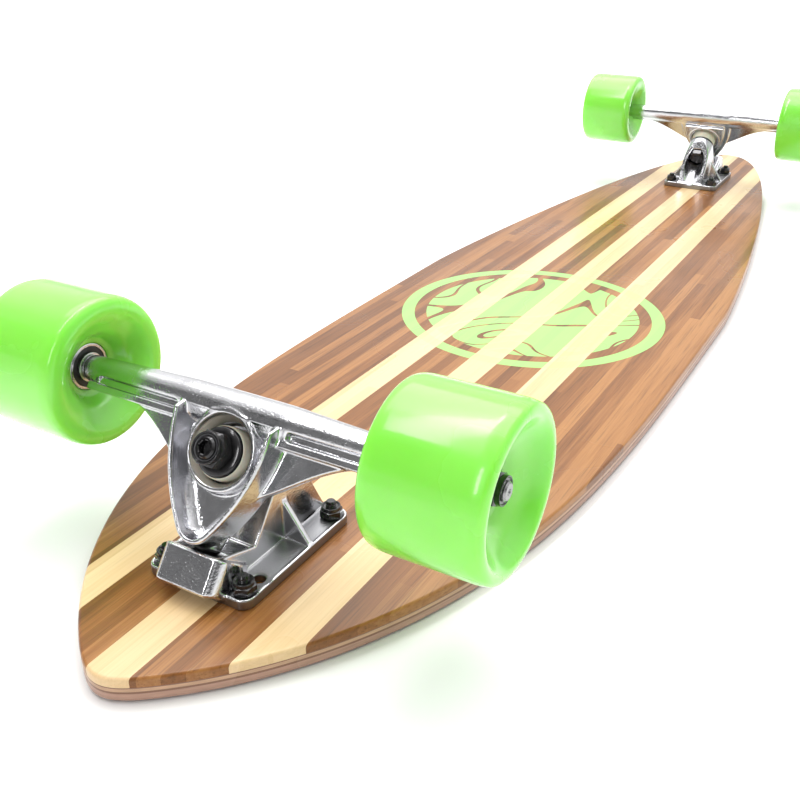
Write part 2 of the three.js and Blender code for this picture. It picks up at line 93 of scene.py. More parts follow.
def truck_place(truck):
    """A truck's own frame: on the deck's face, right under its axle."""
    low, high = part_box("axle_" + truck)
    centre = Vector((0, (low.y + high.y) / 2, deck_high.z))
    return Matrix.Translation(centre) @ Matrix.Rotation(TURNS[truck], 4, "Z")


TRUCKS = {truck: truck_place(truck) for truck in TURNS}


def steering_place(truck):
    """A truck's steering frame: its y, called s below, runs along the steering axis away from the
    pivot, and its z, called n below, runs along the kingpin away from the board."""
    drop = Matrix.Translation((0, 0, -STEERING_DROP * MM))
    return TRUCKS[truck] @ drop @ Matrix.Rotation(STEER_ANGLE, 4, "X")


def axle_place(truck, side):
    """The frame of one wheel set: x runs out along the axle, from its middle."""
    low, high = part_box("axle_" + truck)
    turn = TURNS[truck] + (0 if side == "right" else math.pi)
    return Matrix.Translation((low + high) / 2) @ Matrix.Rotation(turn, 4, "Z")


def wheel_set_span(node):
    """Where a node of every wheel set starts and ends along the axle."""
    low, high = extent(node + "_near_right", axle_place("near", "right"))
    return low[0], high[0]


near_steering = steering_place("near")
hanger_low, hanger_high = extent("hanger_near", near_steering)
kingpin_low, kingpin_high = extent("kingpin_near", near_steering)
KINGPIN_S = (kingpin_low[1] + kingpin_high[1]) / 2
KINGPIN_END = kingpin_high[2]
axle_low, axle_high = extent("axle_near", near_steering)
AXLE_S = (axle_low[1] + axle_high[1]) / 2
AXLE_N = (axle_low[2] + axle_high[2]) / 2
AXLE_RADIUS = 4.0
AXLE_HALF = axle_high[0]
BAR_HALF = hanger_high[0]
PIVOT_N = 34.0

plate_low, plate_high = extent("baseplate_near", TRUCKS["near"])
PLATE_HALF_X = plate_high[0]
PLATE_HALF_Y = plate_high[1]
PLATE_RIM = 5.0
PLATE_FLOOR = 4.2

wheel_low, wheel_high = extent("wheel_near_right", axle_place("near", "right"))
WHEEL_INNER = wheel_low[0]
WHEEL_OUTER = wheel_high[0]
WHEEL_RADIUS = wheel_high[2]

BOLT_X = 20.65
BOLT_Y = 31.75
SPARE_Y = -22.2
BOLT_PLACES = [(BOLT_X, -BOLT_Y), (-BOLT_X, -BOLT_Y), (BOLT_X, BOLT_Y), (-BOLT_X, BOLT_Y)]

# ---- Meshes ----


def make_mesh(name, points, faces):
    mesh = bpy.data.meshes.new(name)
    mesh.from_pydata([tuple(point) for point in points], [], [tuple(face) for face in faces])
    mesh.validate()
    mesh.update()
    return mesh


def shade(mesh, smooth_angle=35):
    mesh.polygons.foreach_set("use_smooth", [True] * len(mesh.polygons))
    mesh.set_sharp_from_angle(angle=math.radians(smooth_angle))


def link_object(name, data):
    piece = bpy.data.objects.new(name, data)
    bpy.context.collection.objects.link(piece)
    return piece


def make_object(name, mesh, material, smooth_angle=35):
    shade(mesh, smooth_angle)
    mesh.materials.clear()
    mesh.materials.append(material)
    return link_object(name, mesh)


def placed_mesh(name, shape, place):
    """A mesh from a shape (points, faces) in millimetres, put in its place."""
    mesh = make_mesh(name, *shape)
    mesh.transform(place @ Matrix.Scale(MM, 4))
    return mesh


def add_piece(name, label, shape, place, material, body, node, smooth_angle=35):
    """A piece on its body. Its own name and its CAD node's both end in the label."""
    mesh = placed_mesh(name, shape, place)
    piece = make_object(f"{name}_{label}", mesh, material, smooth_angle)
    if body:
        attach(piece, body)
    if node:
        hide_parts(f"{node}_{label}")
    return piece


def evaluated_mesh(piece):
    """The piece's mesh with its modifiers applied."""
    bpy.context.view_layer.update()
    graph = bpy.context.evaluated_depsgraph_get()
    return bpy.data.meshes.new_from_object(piece.evaluated_get(graph))


def hex_radius(angle, flats):
    """Distance to the side of a hexagon of that width across its flats, in a direction."""
    step = math.pi / 3
    return flats / 2 / math.cos((angle % step) - step / 2)


def rounded(profile, steps=4):
    """The profile with each corner (radius, height, fillet) replaced by a small curve."""
    result = []
    for i, point in enumerate(profile):
        fillet = point[2] if len(point) > 2 else 0
        if not fillet or i in (0, len(profile) - 1):
            result.append(point[:2])
            continue
        corner = np.array(point[:2], float)
        before = np.array(profile[i - 1][:2], float) - corner
        after = np.array(profile[i + 1][:2], float) - corner
        reach = min(fillet, 0.48 * np.linalg.norm(before), 0.48 * np.linalg.norm(after))
        start = corner + before / np.linalg.norm(before) * reach
        end = corner + after / np.linalg.norm(after) * reach
        for k in range(steps + 1):
            t = k / steps
            result.append(tuple((1 - t) ** 2 * start + 2 * t * (1 - t) * corner + t * t * end))
    return result


def turned(profile, segments=64, radius_at=None):
    """A closed profile of (radius, height) turned about +Z. radius_at(i, radius, height, angle)
    may change the radius round the turn, for flats and threads."""
    count = len(profile)
    points = []
    for j in range(segments):
        angle = 2 * math.pi * j / segments
        for i, (radius, height) in enumerate(profile):
            r = radius_at(i, radius, height, angle) if radius_at else radius
            points.append((r * math.cos(angle), r * math.sin(angle), height))
    faces = []
    for j in range(segments):
        k = (j + 1) % segments
        for i in range(count):
            h = (i + 1) % count
            corners = [j * count + i, k * count + i, k * count + h, j * count + h]
            on_axis = [profile[i][0] < 1e-6, profile[h][0] < 1e-6]
            if all(on_axis):
                continue
            if on_axis[0]:
                corners.pop(1)
            elif on_axis[1]:
                corners.pop(2)
            faces.append(corners)
    return weld(points, faces)


def weld(points, faces):
    """Points in the same place become one, and faces that close up are dropped."""
    keys = np.round(np.array(points, float), 5)
    unique, index = np.unique(keys, axis=0, return_inverse=True)
    index = index.reshape(-1)
    result = []
    for face in faces:
        corners = []
        for corner in face:
            if not corners or index[corner] != corners[-1]:
                corners.append(int(index[corner]))
        if corners[0] == corners[-1]:
            corners.pop()
        if len(set(corners)) >= 3:
            result.append(corners)
    return unique, result


def along_x(shape):
    """A shape turned about Z, laid along +X."""
    points, faces = shape
    points = np.asarray(points, float)
    return np.stack([points[:, 2], points[:, 1], -points[:, 0]], axis=1), faces


def on_kingpin(shape):
    """A shape turned about Z, moved onto the kingpin's axis."""
    points, faces = shape
    return points + np.array([0, KINGPIN_S, 0]), faces


def thread(pitch, depth, start, end):
    """Adds a screw thread between two heights to a turned shape's radius."""
    def radius_at(i, radius, height, angle):
        if not start <= height <= end:
            return radius
        phase = (height / pitch - angle / (2 * math.pi)) % 1
        fade = min(1, (height - start) / pitch, (end - height) / pitch)
        return radius - depth * fade * abs(2 * phase - 1)
    return radius_at


def thread_rings(radius, start, end, pitch):
    """Evenly spaced (radius, height) points, six to a turn, for a thread to move."""
    count = int((end - start) / pitch * 6)
    return [(radius, start + (end - start) * k / count) for k in range(count + 1)]


# ---- Distance fields, for the cast parts ----

RELAXING_ROUNDS = 3


def smooth_min(a, b, k):
    h = np.clip(0.5 + 0.5 * (b - a) / k, 0, 1)
    return b + (a - b) * h - k * h * (1 - h)


def smooth_max(a, b, k):
    return -smooth_min(-a, -b, k)


def all_of(*fields):
    result = fields[0]
    for field in fields[1:]:
        result = np.maximum(result, field)
    return result


def box_field(x, x0, x1, y, y0, y1, z, z0, z1):
    return all_of(x0 - x, x - x1, y0 - y, y - y1, z0 - z, z - z1)


def outline_field(outline, x, y):
    """Signed distance to a closed outline, over two coordinates."""
    best = np.full(np.broadcast(x, y).shape, 1e9)
    inside = np.zeros(best.shape, bool)
    for (x0, y0), (x1, y1) in zip(outline, outline[1:] + outline[:1]):
        dx, dy = x1 - x0, y1 - y0
        t = np.clip(((x - x0) * dx + (y - y0) * dy) / (dx * dx + dy * dy), 0, 1)
        best = np.minimum(best, (x - x0 - t * dx) ** 2 + (y - y0 - t * dy) ** 2)
        if dy:
            crosses = (y0 > y) != (y1 > y)
            inside ^= crosses & (x < x0 + (y - y0) * dx / dy)
    return np.where(inside, -1, 1) * np.sqrt(best)


def skin(field, low, step):
    """The closed surface where a gridded distance field is zero, with one point in each cell."""
    size = np.array(field.shape)
    stride = np.array([size[1] * size[2], size[2], 1])
    rings = []
    spots = []
    for axis in range(3):
        near = np.take(field, range(size[axis] - 1), axis)
        far = np.take(field, range(1, size[axis]), axis)
        crossing = np.argwhere((near < 0) != (far < 0))
        here = near[tuple(crossing.T)]
        there = far[tuple(crossing.T)]
        spot = crossing.astype(float)
        spot[:, axis] += here / (here - there)
        b, c = (axis + 1) % 3, (axis + 2) % 3
        ring = []
        for back_b, back_c in ((0, 0), (1, 0), (1, 1), (0, 1)):
            cell = crossing.copy()
            cell[:, b] -= back_b
            cell[:, c] -= back_c
            ring.append(cell @ stride)
        ring = np.array(ring).T
        ring[here >= 0] = ring[here >= 0][:, ::-1]
        rings.append(ring)
        spots.append(spot)
    rings = np.concatenate(rings)
    spots = np.repeat(np.concatenate(spots), 4, axis=0)
    corner = np.unique(rings, return_inverse=True)[1].reshape(-1)
    shares = np.bincount(corner)
    points = np.stack([np.bincount(corner, spots[:, k]) / shares for k in range(3)], axis=1)
    faces = corner.reshape(-1, 4)
    return relaxed(points * step + np.array(low), faces), faces


def relaxed(points, faces):
    """The same points, each moved part of the way to the middle of its neighbours."""
    ends = np.concatenate([faces[:, [k, (k + 1) % 4]] for k in range(4)])
    count = np.bincount(ends[:, 0], minlength=len(points))[:, None]
    for _ in range(RELAXING_ROUNDS):
        sums = [np.bincount(ends[:, 0], points[ends[:, 1], k], len(points)) for k in range(3)]
        points = points + 0.5 * (np.stack(sums, 1) / count - points)
    return points


def grid(low, high, step):
    axes = [np.arange(a, b + step, step) for a, b in zip(low, high)]
    return np.meshgrid(*axes, indexing="ij", sparse=True)


def bezier(start, pull_start, pull_end, end, steps=14):
    points = []
    for k in range(steps):
        t = k / steps
        weights = [(1 - t) ** 3, 3 * t * (1 - t) ** 2, 3 * t * t * (1 - t), t ** 3]
        corners = [start, pull_start, pull_end, end]
        points.append(tuple(sum(w * p[i] for w, p in zip(weights, corners)) for i in range(2)))
    return points


# ---- Materials ----


class Nodes:
    """A node tree, with short calls for what the materials and the world need."""

    def __init__(self, owner, coordinates):
        owner.use_nodes = True
        self.tree = owner.node_tree
        self.place = self.tree.nodes.new("ShaderNodeTexCoord").outputs[coordinates]

    def link(self, value, socket):
        """A socket is linked; a constant is set on the input itself."""
        if isinstance(value, bpy.types.NodeSocket):
            self.tree.links.new(value, socket)
        else:
            socket.default_value = value

    def add(self, kind, inputs, output=0, **settings):
        """One output of a new node, whose inputs are given by name or by number."""
        node = self.tree.nodes.new("ShaderNode" + kind)
        for name, value in settings.items():
            setattr(node, name, value)
        for key, value in inputs.items():
            self.link(value, node.inputs[key])
        return node.outputs[output]

    def math(self, operation, a, b=0.0, c=0.0):
        return self.add("Math", {0: a, 1: b, 2: c}, operation=operation)

    def axes(self):
        return [self.add("SeparateXYZ", {0: self.place}, axis) for axis in range(3)]

    def noise(self, scale, detail=3.0, stretch=(1, 1, 1), roughness=0.5, distortion=0.0):
        place = self.add("Mapping", {"Vector": self.place, "Scale": stretch})
        values = {"Scale": scale, "Detail": detail, "Roughness": roughness, "Distortion": distortion}
        return self.add("TexNoise", {"Vector": place, **values}, "Fac")

    def cells(self, scale):
        """Distance to the middle of the nearest random cell."""
        return self.add("TexVoronoi", {"Vector": self.place, "Scale": scale}, "Distance")

    def random(self, x, y, z):
        """A random value for each whole-numbered place."""
        place = self.add("CombineXYZ", {0: x, 1: y, 2: z})
        return self.add("TexWhiteNoise", {"Vector": place}, "Value")

    def ramp(self, value, *stops):
        """Colours or greys at (position, value) stops."""
        node = self.tree.nodes.new("ShaderNodeValToRGB")
        self.link(value, node.inputs["Fac"])
        elements = node.color_ramp.elements
        while len(elements) < len(stops):
            elements.new(0.5)
        for element, (position, colour) in zip(elements, stops):
            element.position = position
            grey = isinstance(colour, (int, float))
            element.color = (colour, colour, colour, 1) if grey else (*colour, 1)
        return node.outputs["Color"]

    def mottle(self, scale, detail, low, high, start=0.3, end=0.7):
        """Noise that runs from one colour or grey to another."""
        return self.ramp(self.noise(scale, detail), (start, low), (end, high))

    def mix(self, share, a, b, blend="MIX"):
        a, b = ((*colour, 1) if isinstance(colour, tuple) else colour for colour in (a, b))
        return self.add("Mix", {0: share, 6: a, 7: b}, 2, data_type="RGBA", blend_type=blend)


class MaterialNodes(Nodes):
    def __init__(self, name):
        self.material = bpy.data.materials.new(name)
        super().__init__(self.material, "Object")
        self.shader = self.tree.nodes["Principled BSDF"]

    def set(self, **values):
        for name, value in values.items():
            self.link(value, self.shader.inputs[name.replace("_", " ")])

    def bump(self, height, strength, distance, **below):
        values = {"Height": height, "Strength": strength, "Distance": distance}
        bumped = self.add("Bump", {**values, **below})
        self.set(Normal=bumped)
        return bumped


# The deck's face, in metres: three pale stripes, narrow strips, and the depths of its plies.
STRIPE_SHIFT = 0.0029
STRIPE_PITCH = 0.0456
STRIPE_HALF = 0.0093
STRIP_WIDTH = 0.0069
STRIP_LENGTH = 0.33
FACE_PLY = 0.0044
CORE_PLY = 0.0069
GLUE_LINE = 0.0005

# The print on the deck's face, in metres: a ring, and a disc inside it.
PRINT_X = -0.0028
PRINT_Y = -0.0898
PRINT_RADIUS = 0.0925
PRINT_RING = 0.0090
PRINT_DISC = 0.0750
PRINT_DEPTH = 0.0003
CONTOURS = 11.0
CONTOUR_HALF = 0.075

# Colours, dark to light where there are several.
WALNUT = [(0.150, 0.053, 0.011), (0.275, 0.106, 0.026), (0.430, 0.195, 0.060)]
CREAM = [(0.640, 0.425, 0.200), (0.770, 0.550, 0.300), (0.845, 0.635, 0.375)]
PRINT_GREEN = (0.370, 0.760, 0.210)
CORE_WOOD = (0.560, 0.345, 0.215)
BACK_WOOD = (0.470, 0.280, 0.205)
GLUE = (0.235, 0.120, 0.075)
GRIT = [(0.060, 0.060, 0.064), (0.014, 0.014, 0.015)]
POLISHED = [(0.60, 0.60, 0.62), (0.69, 0.69, 0.71)]
# The tray's unpolished cast skin, darkened further with painted shade of its hollow.
UNPOLISHED_AND_SHADED = (0.30, 0.30, 0.31)
LIME = [(0.230, 0.760, 0.060), (0.290, 0.840, 0.095)]
CUSHION = [(0.60, 0.55, 0.42), (0.72, 0.68, 0.55)]
BLACKENED = [(0.010, 0.010, 0.011), (0.040, 0.038, 0.040)]


def stripe_mask(n, x):
    """1 on the three pale stripes, 0 between them."""
    across = n.math("DIVIDE", n.math("SUBTRACT", x, STRIPE_SHIFT), STRIPE_PITCH)
    nearest = n.math("MINIMUM", n.math("MAXIMUM", n.math("ROUND", across), -1.0), 1.0)
    away = n.math("ABSOLUTE", n.math("SUBTRACT", across, nearest))
    return n.math("LESS_THAN", away, STRIPE_HALF / STRIPE_PITCH)


def print_mask(n, x, y):
    """1 on the printed ring and on the disc inside it, less the disc's flowing contour lines."""
    dx = n.math("SUBTRACT", x, PRINT_X)
    dy = n.math("SUBTRACT", y, PRINT_Y)
    away = n.math("SQRT", n.math("ADD", n.math("MULTIPLY", dx, dx), n.math("MULTIPLY", dy, dy)))
    off_ring = n.math("ABSOLUTE", n.math("SUBTRACT", away, PRINT_RADIUS - PRINT_RING / 2))
    ring = n.math("LESS_THAN", off_ring, PRINT_RING / 2)
    disc = n.math("LESS_THAN", away, PRINT_DISC)
    relief = n.noise(11.0, 0.3, (1.0, 0.7, 1), distortion=0.9)
    step = n.math("FRACT", n.math("MULTIPLY", relief, CONTOURS))
    line = n.math("LESS_THAN", n.math("ABSOLUTE", n.math("SUBTRACT", step, 0.5)), CONTOUR_HALF)
    return n.math("MAXIMUM", ring, n.math("MULTIPLY", disc, n.math("SUBTRACT", 1.0, line)))


def strip_tone(n, x, y):
    """A random tone for each of the narrow strips that the face is glued up from."""
    first_edge = STRIPE_SHIFT - STRIPE_HALF
    row = n.math("FLOOR", n.math("DIVIDE", n.math("SUBTRACT", x, first_edge), STRIP_WIDTH))
    stagger = n.math("MULTIPLY", n.random(row, 0.0, 0.0), 7.0)
    length = n.math("FLOOR", n.math("ADD", n.math("DIVIDE", y, STRIP_LENGTH), stagger))
    return n.random(row, length, 3.0)


def face_colour(n, x, y, stripe, grain, fibre):
    cloud = n.noise(9.0, 3.0, (1.6, 0.5, 1.0))
    tone = n.math("MULTIPLY_ADD", strip_tone(n, x, y), 0.36, n.math("MULTIPLY", cloud, 0.30))
    tone = n.math("MULTIPLY_ADD", grain, 0.46, tone)
    walnut = n.ramp(tone, (0.34, WALNUT[0]), (0.56, WALNUT[1]), (0.78, WALNUT[2]))
    cream = n.ramp(tone, (0.20, CREAM[0]), (0.50, CREAM[1]), (0.80, CREAM[2]))
    fleck = n.ramp(fibre, (0.33, 0.60), (0.47, 1.0))
    walnut = n.mix(0.75, walnut, fleck, "MULTIPLY")
    cream = n.mix(0.18, cream, fleck, "MULTIPLY")
    return n.mix(stripe, walnut, cream)


def edge_colour(n, depth):
    """The plies as seen from the side: the core, a redder back and the glue lines between."""
    ply_grain = n.ramp(n.noise(40.0, 4.0, (3.0, 1.0, 22.0), 0.6), (0.3, 0.78), (0.7, 1.08))
    core = n.mix(1.0, CORE_WOOD, ply_grain, "MULTIPLY")
    back = n.mix(1.0, BACK_WOOD, ply_grain, "MULTIPLY")
    plies = n.mix(n.math("GREATER_THAN", depth, CORE_PLY), core, back)
    for line in (FACE_PLY, CORE_PLY):
        off_line = n.math("ABSOLUTE", n.math("SUBTRACT", depth, line))
        plies = n.mix(n.math("LESS_THAN", off_line, GLUE_LINE), plies, GLUE)
    return plies


def wood_material():
    n = MaterialNodes("bamboo_deck")
    x, y, z = n.axes()
    stripe = stripe_mask(n, x)
    grain = n.noise(60.0, 6.0, (9.0, 0.22, 9.0), 0.65)
    fibre = n.noise(150.0, 3.0, (7.0, 0.16, 7.0), 0.6)
    face = face_colour(n, x, y, stripe, grain, fibre)
    ink = n.math("MULTIPLY", print_mask(n, x, y), n.math("MULTIPLY_ADD", stripe, -0.62, 0.86))
    on_top = n.math("GREATER_THAN", z, DECK_TOP * MM - PRINT_DEPTH)
    face = n.mix(n.math("MULTIPLY", ink, on_top), face, PRINT_GREEN)
    depth = n.math("SUBTRACT", DECK_TOP * MM, z)
    colour = n.mix(n.math("GREATER_THAN", depth, FACE_PLY), face, edge_colour(n, depth))
    smear = n.mottle(14.0, 2.0, 0.24, 0.38)
    n.set(Base_Color=colour, Roughness=smear, IOR=1.38, Coat_Weight=0.12, Coat_Roughness=0.15)
    n.bump(n.math("ADD", grain, n.math("MULTIPLY", fibre, 0.6)), 0.10, 0.0004)
    return n.material


def grip_material():
    n = MaterialNodes("grip_tape_grit")
    grit = n.cells(1500.0)
    worn = n.mottle(7.0, 3.0, 0.80, 0.96, 0.35, 0.7)
    n.set(Base_Color=n.ramp(grit, (0.0, GRIT[0]), (0.35, GRIT[1])), Roughness=worn)
    n.bump(grit, 0.9, 0.0006)
    return n.material


def aluminium_material():
    """Tumbled to a shine, except below the baseplate's rim, where the cast skin is left, darkened with
    painted shade.
    """
    n = MaterialNodes("polished_cast_aluminium")
    rim_height = (DECK_TOP + (PLATE_FLOOR + PLATE_RIM) / 2) * MM
    in_tray = n.math("LESS_THAN", n.axes()[2], rim_height)
    tone = n.mottle(45.0, 3.0, *POLISHED)
    gloss = n.mottle(120.0, 4.0, 0.10, 0.22, 0.35, 0.7)
    # Below the rim the base colour is partly the unpolished cast skin and partly painted shade of the
    # tray's hollow.
    tone = n.mix(in_tray, tone, UNPOLISHED_AND_SHADED)
    gloss = n.mix(in_tray, gloss, (0.36, 0.36, 0.36))
    n.set(Base_Color=tone, Metallic=1.0, Roughness=gloss)
    swell = n.bump(n.noise(48.0, 1.0), 0.35, 0.0018)
    pits = n.ramp(n.cells(800.0), (0.08, 0.0), (0.30, 1.0))
    pitted = n.bump(pits, 0.16, 0.0003, Normal=swell)
    n.bump(n.noise(1100.0, 2.0), 0.30, 0.0003, Normal=pitted)
    return n.material


def steel_material(name, light, rough):
    n = MaterialNodes(name)
    tone = n.mottle(300.0, 3.0, light * 0.8, light)
    turning = n.noise(900.0, 2.0, (6.0, 1.0, 1.0))
    gloss = n.ramp(turning, (0.3, rough * 0.8), (0.7, rough * 1.3))
    n.set(Base_Color=tone, Metallic=1.0, Roughness=gloss)
    n.bump(turning, 0.06, 0.0002)
    return n.material


def mottled_material(name, tone, gloss, relief, **values):
    """Noise drives the tone, the roughness and a fine relief."""
    n = MaterialNodes(name)
    n.set(Base_Color=n.mottle(*tone), Roughness=n.mottle(*gloss), **values)
    scale, detail, strength, distance = relief
    n.bump(n.noise(scale, detail), strength, distance)
    return n.material


def plastic_material(name, low, high):
    return mottled_material(
        name, (80.0, 3.0, low, high), (150.0, 3.0, 0.35, 0.55), (900.0, 2.0, 0.10, 0.0002))


def floor_material():
    n = MaterialNodes("pale_floor")
    pale = n.mottle(3.0, 2.0, 0.90, 0.93)
    n.set(Base_Color=pale, Roughness=0.9, Specular_IOR_Level=0.1)
    return n.material


WOOD = wood_material()
GRIP = grip_material()
ALUMINIUM = aluminium_material()
URETHANE = mottled_material(
    "lime_urethane", (16.0, 2.0, *LIME), (30.0, 3.0, 0.20, 0.30, 0.35), (260.0, 2.0, 0.03, 0.0004),
    Subsurface_Weight=0.55, Subsurface_Scale=0.012, Subsurface_Radius=(0.6, 1.0, 0.25),
    IOR=1.5, Coat_Weight=0.6, Coat_Roughness=0.10)
BUSHING = mottled_material(
    "cream_urethane", (60.0, 3.0, *CUSHION), (90.0, 2.0, 0.40, 0.55), (400.0, 2.0, 0.08, 0.0003),
    Subsurface_Weight=0.25, Subsurface_Scale=0.003)
BLACK = mottled_material(
    "black_oxide_steel", (220.0, 4.0, *BLACKENED, 0.35, 0.75), (90.0, 3.0, 0.10, 0.24),
    (700.0, 3.0, 0.12, 0.0002), Metallic=0.55, Coat_Weight=0.4, Coat_Roughness=0.12)
BEARING_STEEL = steel_material("bearing_steel_ground", 0.62, 0.22)
AXLE_STEEL = steel_material("axle_steel_turned", 0.34, 0.26)
SHIELD = plastic_material("bearing_shield_black", (0.010, 0.010, 0.011), (0.025, 0.025, 0.027))
NYLON = plastic_material("nylon_insert", (0.030, 0.030, 0.034), (0.060, 0.060, 0.066))
PIVOT = plastic_material("pivot_cup_plastic", (0.015, 0.015, 0.016), (0.035, 0.035, 0.038))

# ---- Deck ----

# Each half of the outline is width * (1 - share ** power) ** root of its length.
WIDEST_Y = -18.0
NOSE = (4.6, 0.81)
TAIL = (1.22, 0.5)
OUTLINE_STEPS = 200
TIP_ROUND = 18.0
TIP_SANDED = 2.0
TOP_ROUND = 1.7
BOTTOM_ROUND = 1.3
GRIP_INSET = 2.5
GRIP_FRAY = 0.15
BOLT_RADIUS = 2.9
HEAD_RADIUS = 4.9


def plain_half_width(y):
    power, root = NOSE if y < WIDEST_Y else TAIL
    reach = DECK_HALF_LENGTH + (WIDEST_Y if y < WIDEST_Y else -WIDEST_Y)
    share = min(1, abs(y - WIDEST_Y) / reach)
    return DECK_HALF_WIDTH * (1 - share ** power) ** root


def deck_half_width(y):
    """The plain half width, with the sharp point of the nose sanded to a round one."""
    start = TIP_ROUND - DECK_HALF_LENGTH
    if y >= start:
        return plain_half_width(y)
    reach = TIP_ROUND - TIP_SANDED
    width = plain_half_width(start)
    slope = plain_half_width(start + 0.5) - plain_half_width(start - 0.5)
    share = max(0, reach - (start - y)) / reach
    blunt = 2 - 2 * slope * reach / width
    return width * math.sqrt(blunt * share + (1 - blunt) * share * share)


def deck_outline():
    first = TIP_SANDED - DECK_HALF_LENGTH
    right = []
    for i in range(OUTLINE_STEPS + 1):
        share = (1 - math.cos(math.pi * i / OUTLINE_STEPS)) / 2
        y = first + (DECK_HALF_LENGTH - first) * share
        right.append((deck_half_width(y), y))
    left = [(-x, y) for x, y in right[1:-1]][::-1]
    return np.array(right + left)


def edge_levels(low, high, low_round, high_round):
    """(inset, height) pairs up a side wall with a quarter round at each edge."""
    turns = [(math.sin(turn), math.cos(turn)) for turn in (math.pi / 2 * k / 5 for k in range(6))]
    levels = [(low_round * (1 - sine), low + low_round * (1 - cosine)) for sine, cosine in turns]
    return levels + [
        (high_round * (1 - cosine), high - high_round * (1 - sine)) for sine, cosine in turns]


def plate_shape(levels):
    """A closed slab in the deck's outline, from (inset, height) levels."""
    outline = deck_outline()
    count = len(outline)
    reach = np.array([DECK_HALF_WIDTH, DECK_HALF_LENGTH])
    points = []
    for inset, height in levels:
        for x, y in outline * (reach - inset) / reach:
            points.append((x, y, height))
    faces = [list(range(count))[::-1], [count * (len(levels) - 1) + i for i in range(count)]]
    for level in range(len(levels) - 1):
        base = level * count
        for i in range(count):
            k = (i + 1) % count
            faces.append([base + i, base + k, base + count + k, base + count + i])
    return points, faces


def bolt_hole_shape(low, high):
    """A bolt's hole through the deck, with a countersink for its head in the grip face."""
    profile = [
        (0, low), (HEAD_RADIUS, low), (HEAD_RADIUS, 0.8), (BOLT_RADIUS, 2.9),
        (BOLT_RADIUS, high), (0, high)]
    return turned(profile, 32)


def drill(piece, shapes):
    """Cuts shapes out of a piece that isn't on its body yet."""
    points = []
    faces = []
    for shape, place in shapes:
        hole = placed_mesh("hole", shape, place)
        start = len(points)
        points += [vertex.co.copy() for vertex in hole.vertices]
        faces += [[start + corner for corner in polygon.vertices] for polygon in hole.polygons]
        bpy.data.meshes.remove(hole)
    cutter = link_object("cutter", make_mesh("cutter", points, faces))
    modifier = piece.modifiers.new("holes", "BOOLEAN")
    modifier.operation = "DIFFERENCE"
    modifier.solver = "EXACT"
    modifier.object = cutter
    mesh = evaluated_mesh(piece)
    piece.modifiers.clear()
    piece.data = mesh
    bpy.data.objects.remove(cutter)
    shade(mesh)


def add_deck_layer(name, levels, holes, material, node):
    mesh = placed_mesh(name, plate_shape(levels), Matrix.Identity(4))
    piece = make_object(name, mesh, material)
    drill(piece, holes)
    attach(piece, "board")
    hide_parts(node)


def build_deck():
    holes = []
    for place in TRUCKS.values():
        for x, y in BOLT_PLACES:
            spot = place @ Matrix.Translation((x * MM, y * MM, -DECK_TOP * MM))
            holes.append((bolt_hole_shape(-1, DECK_TOP + 1), spot))
    board = edge_levels(DECK_BOTTOM, DECK_TOP, BOTTOM_ROUND, TOP_ROUND)
    add_deck_layer("deck_board", board, holes, WOOD, "deck")
    sheet = [(GRIP_INSET + 0.2, 0.0), (GRIP_INSET, GRIP_FRAY), (GRIP_INSET, DECK_BOTTOM)]
    add_deck_layer("grip_sheet", sheet, holes, GRIP, "grip_tape")


# ---- Hanger ----

# Places and sizes in the steering frame, in millimetres.
SHIELD_SHAPE = {"half_top": 25.2, "top": 52, "tip": 9.8, "tip_centre": 7.1, "flank": 36, "swell": 23}
RIM_SLOPE = 0.11
RIM_S = -2.7
RIM_N = 48.3
CUP_DROP = 4.7
FIN_N = 50.2
FIN_SLOPE = 1.2
BACK_N = 34
WEB_N = 38.4
CUP_S = 36.8
CUP_RADIUS = 17.2
SKIRT_RADIUS = 15.6
SEAT_RADIUS = 12.9
MOUTH_RADIUS = 15.3
KINGPIN_HOLE = 6.5
SLOT_S = 49.9
SLOT_HALF = 1.75
CAST_STEP = 0.42


def shield_outline(inset):
    """A round tip at the pivot end, whose straight flanks swell out towards the bar."""
    half_top = SHIELD_SHAPE["half_top"] - inset
    tip = SHIELD_SHAPE["tip"] - inset
    centre = SHIELD_SHAPE["tip_centre"]
    top = SHIELD_SHAPE["top"]
    flank = math.radians(SHIELD_SHAPE["flank"])
    x = tip * math.cos(flank)
    s = centre - tip * math.sin(flank)
    swell_x = x + SHIELD_SHAPE["swell"] * math.sin(flank)
    swell_s = s + SHIELD_SHAPE["swell"] * math.cos(flank)
    side = bezier((half_top, top), (half_top - 0.6, KINGPIN_S), (swell_x, swell_s), (x, s), 18)
    round_tip = []
    for k in range(17):
        angle = -flank - (math.pi - 2 * flank) * k / 16
        round_tip.append((tip * math.cos(angle), centre + tip * math.sin(angle)))
    mirror = [(-px, ps) for px, ps in side][::-1]
    return side + round_tip + mirror


def gusset_outline():
    """One side web, from the shield's flank out along the bar."""
    foot, low, tip, top = 12, 16, 68, 54
    curve = bezier((foot + 7, low + 6.5), (foot + 22, low + 15), (tip - 22, low + 29.5), (tip, low + 32))
    return [(foot, low)] + curve + [(tip, low + 32), (tip, top), (foot, top)]


def shield_body(x, s, n, rim):
    """The shield, with its upper ends sloped off and a notch over the pivot housing."""
    face = smooth_max(smooth_max(outline_field(shield_outline(0), x, s), rim, 1.5), BACK_N - n, 0.6)
    fin_end = (n - FIN_N - FIN_SLOPE * (SHIELD_SHAPE["top"] - s)) / math.hypot(1, FIN_SLOPE)
    face = smooth_max(face, fin_end, 0.5)
    face = all_of(face, -box_field(s, -10, 4, n, 30, 36.5, np.abs(x), -1, 40))
    back = all_of(outline_field(shield_outline(5.5), x, s), 28.4 - n, n - 44, 5 - s)
    return smooth_min(face, back, 1.6)


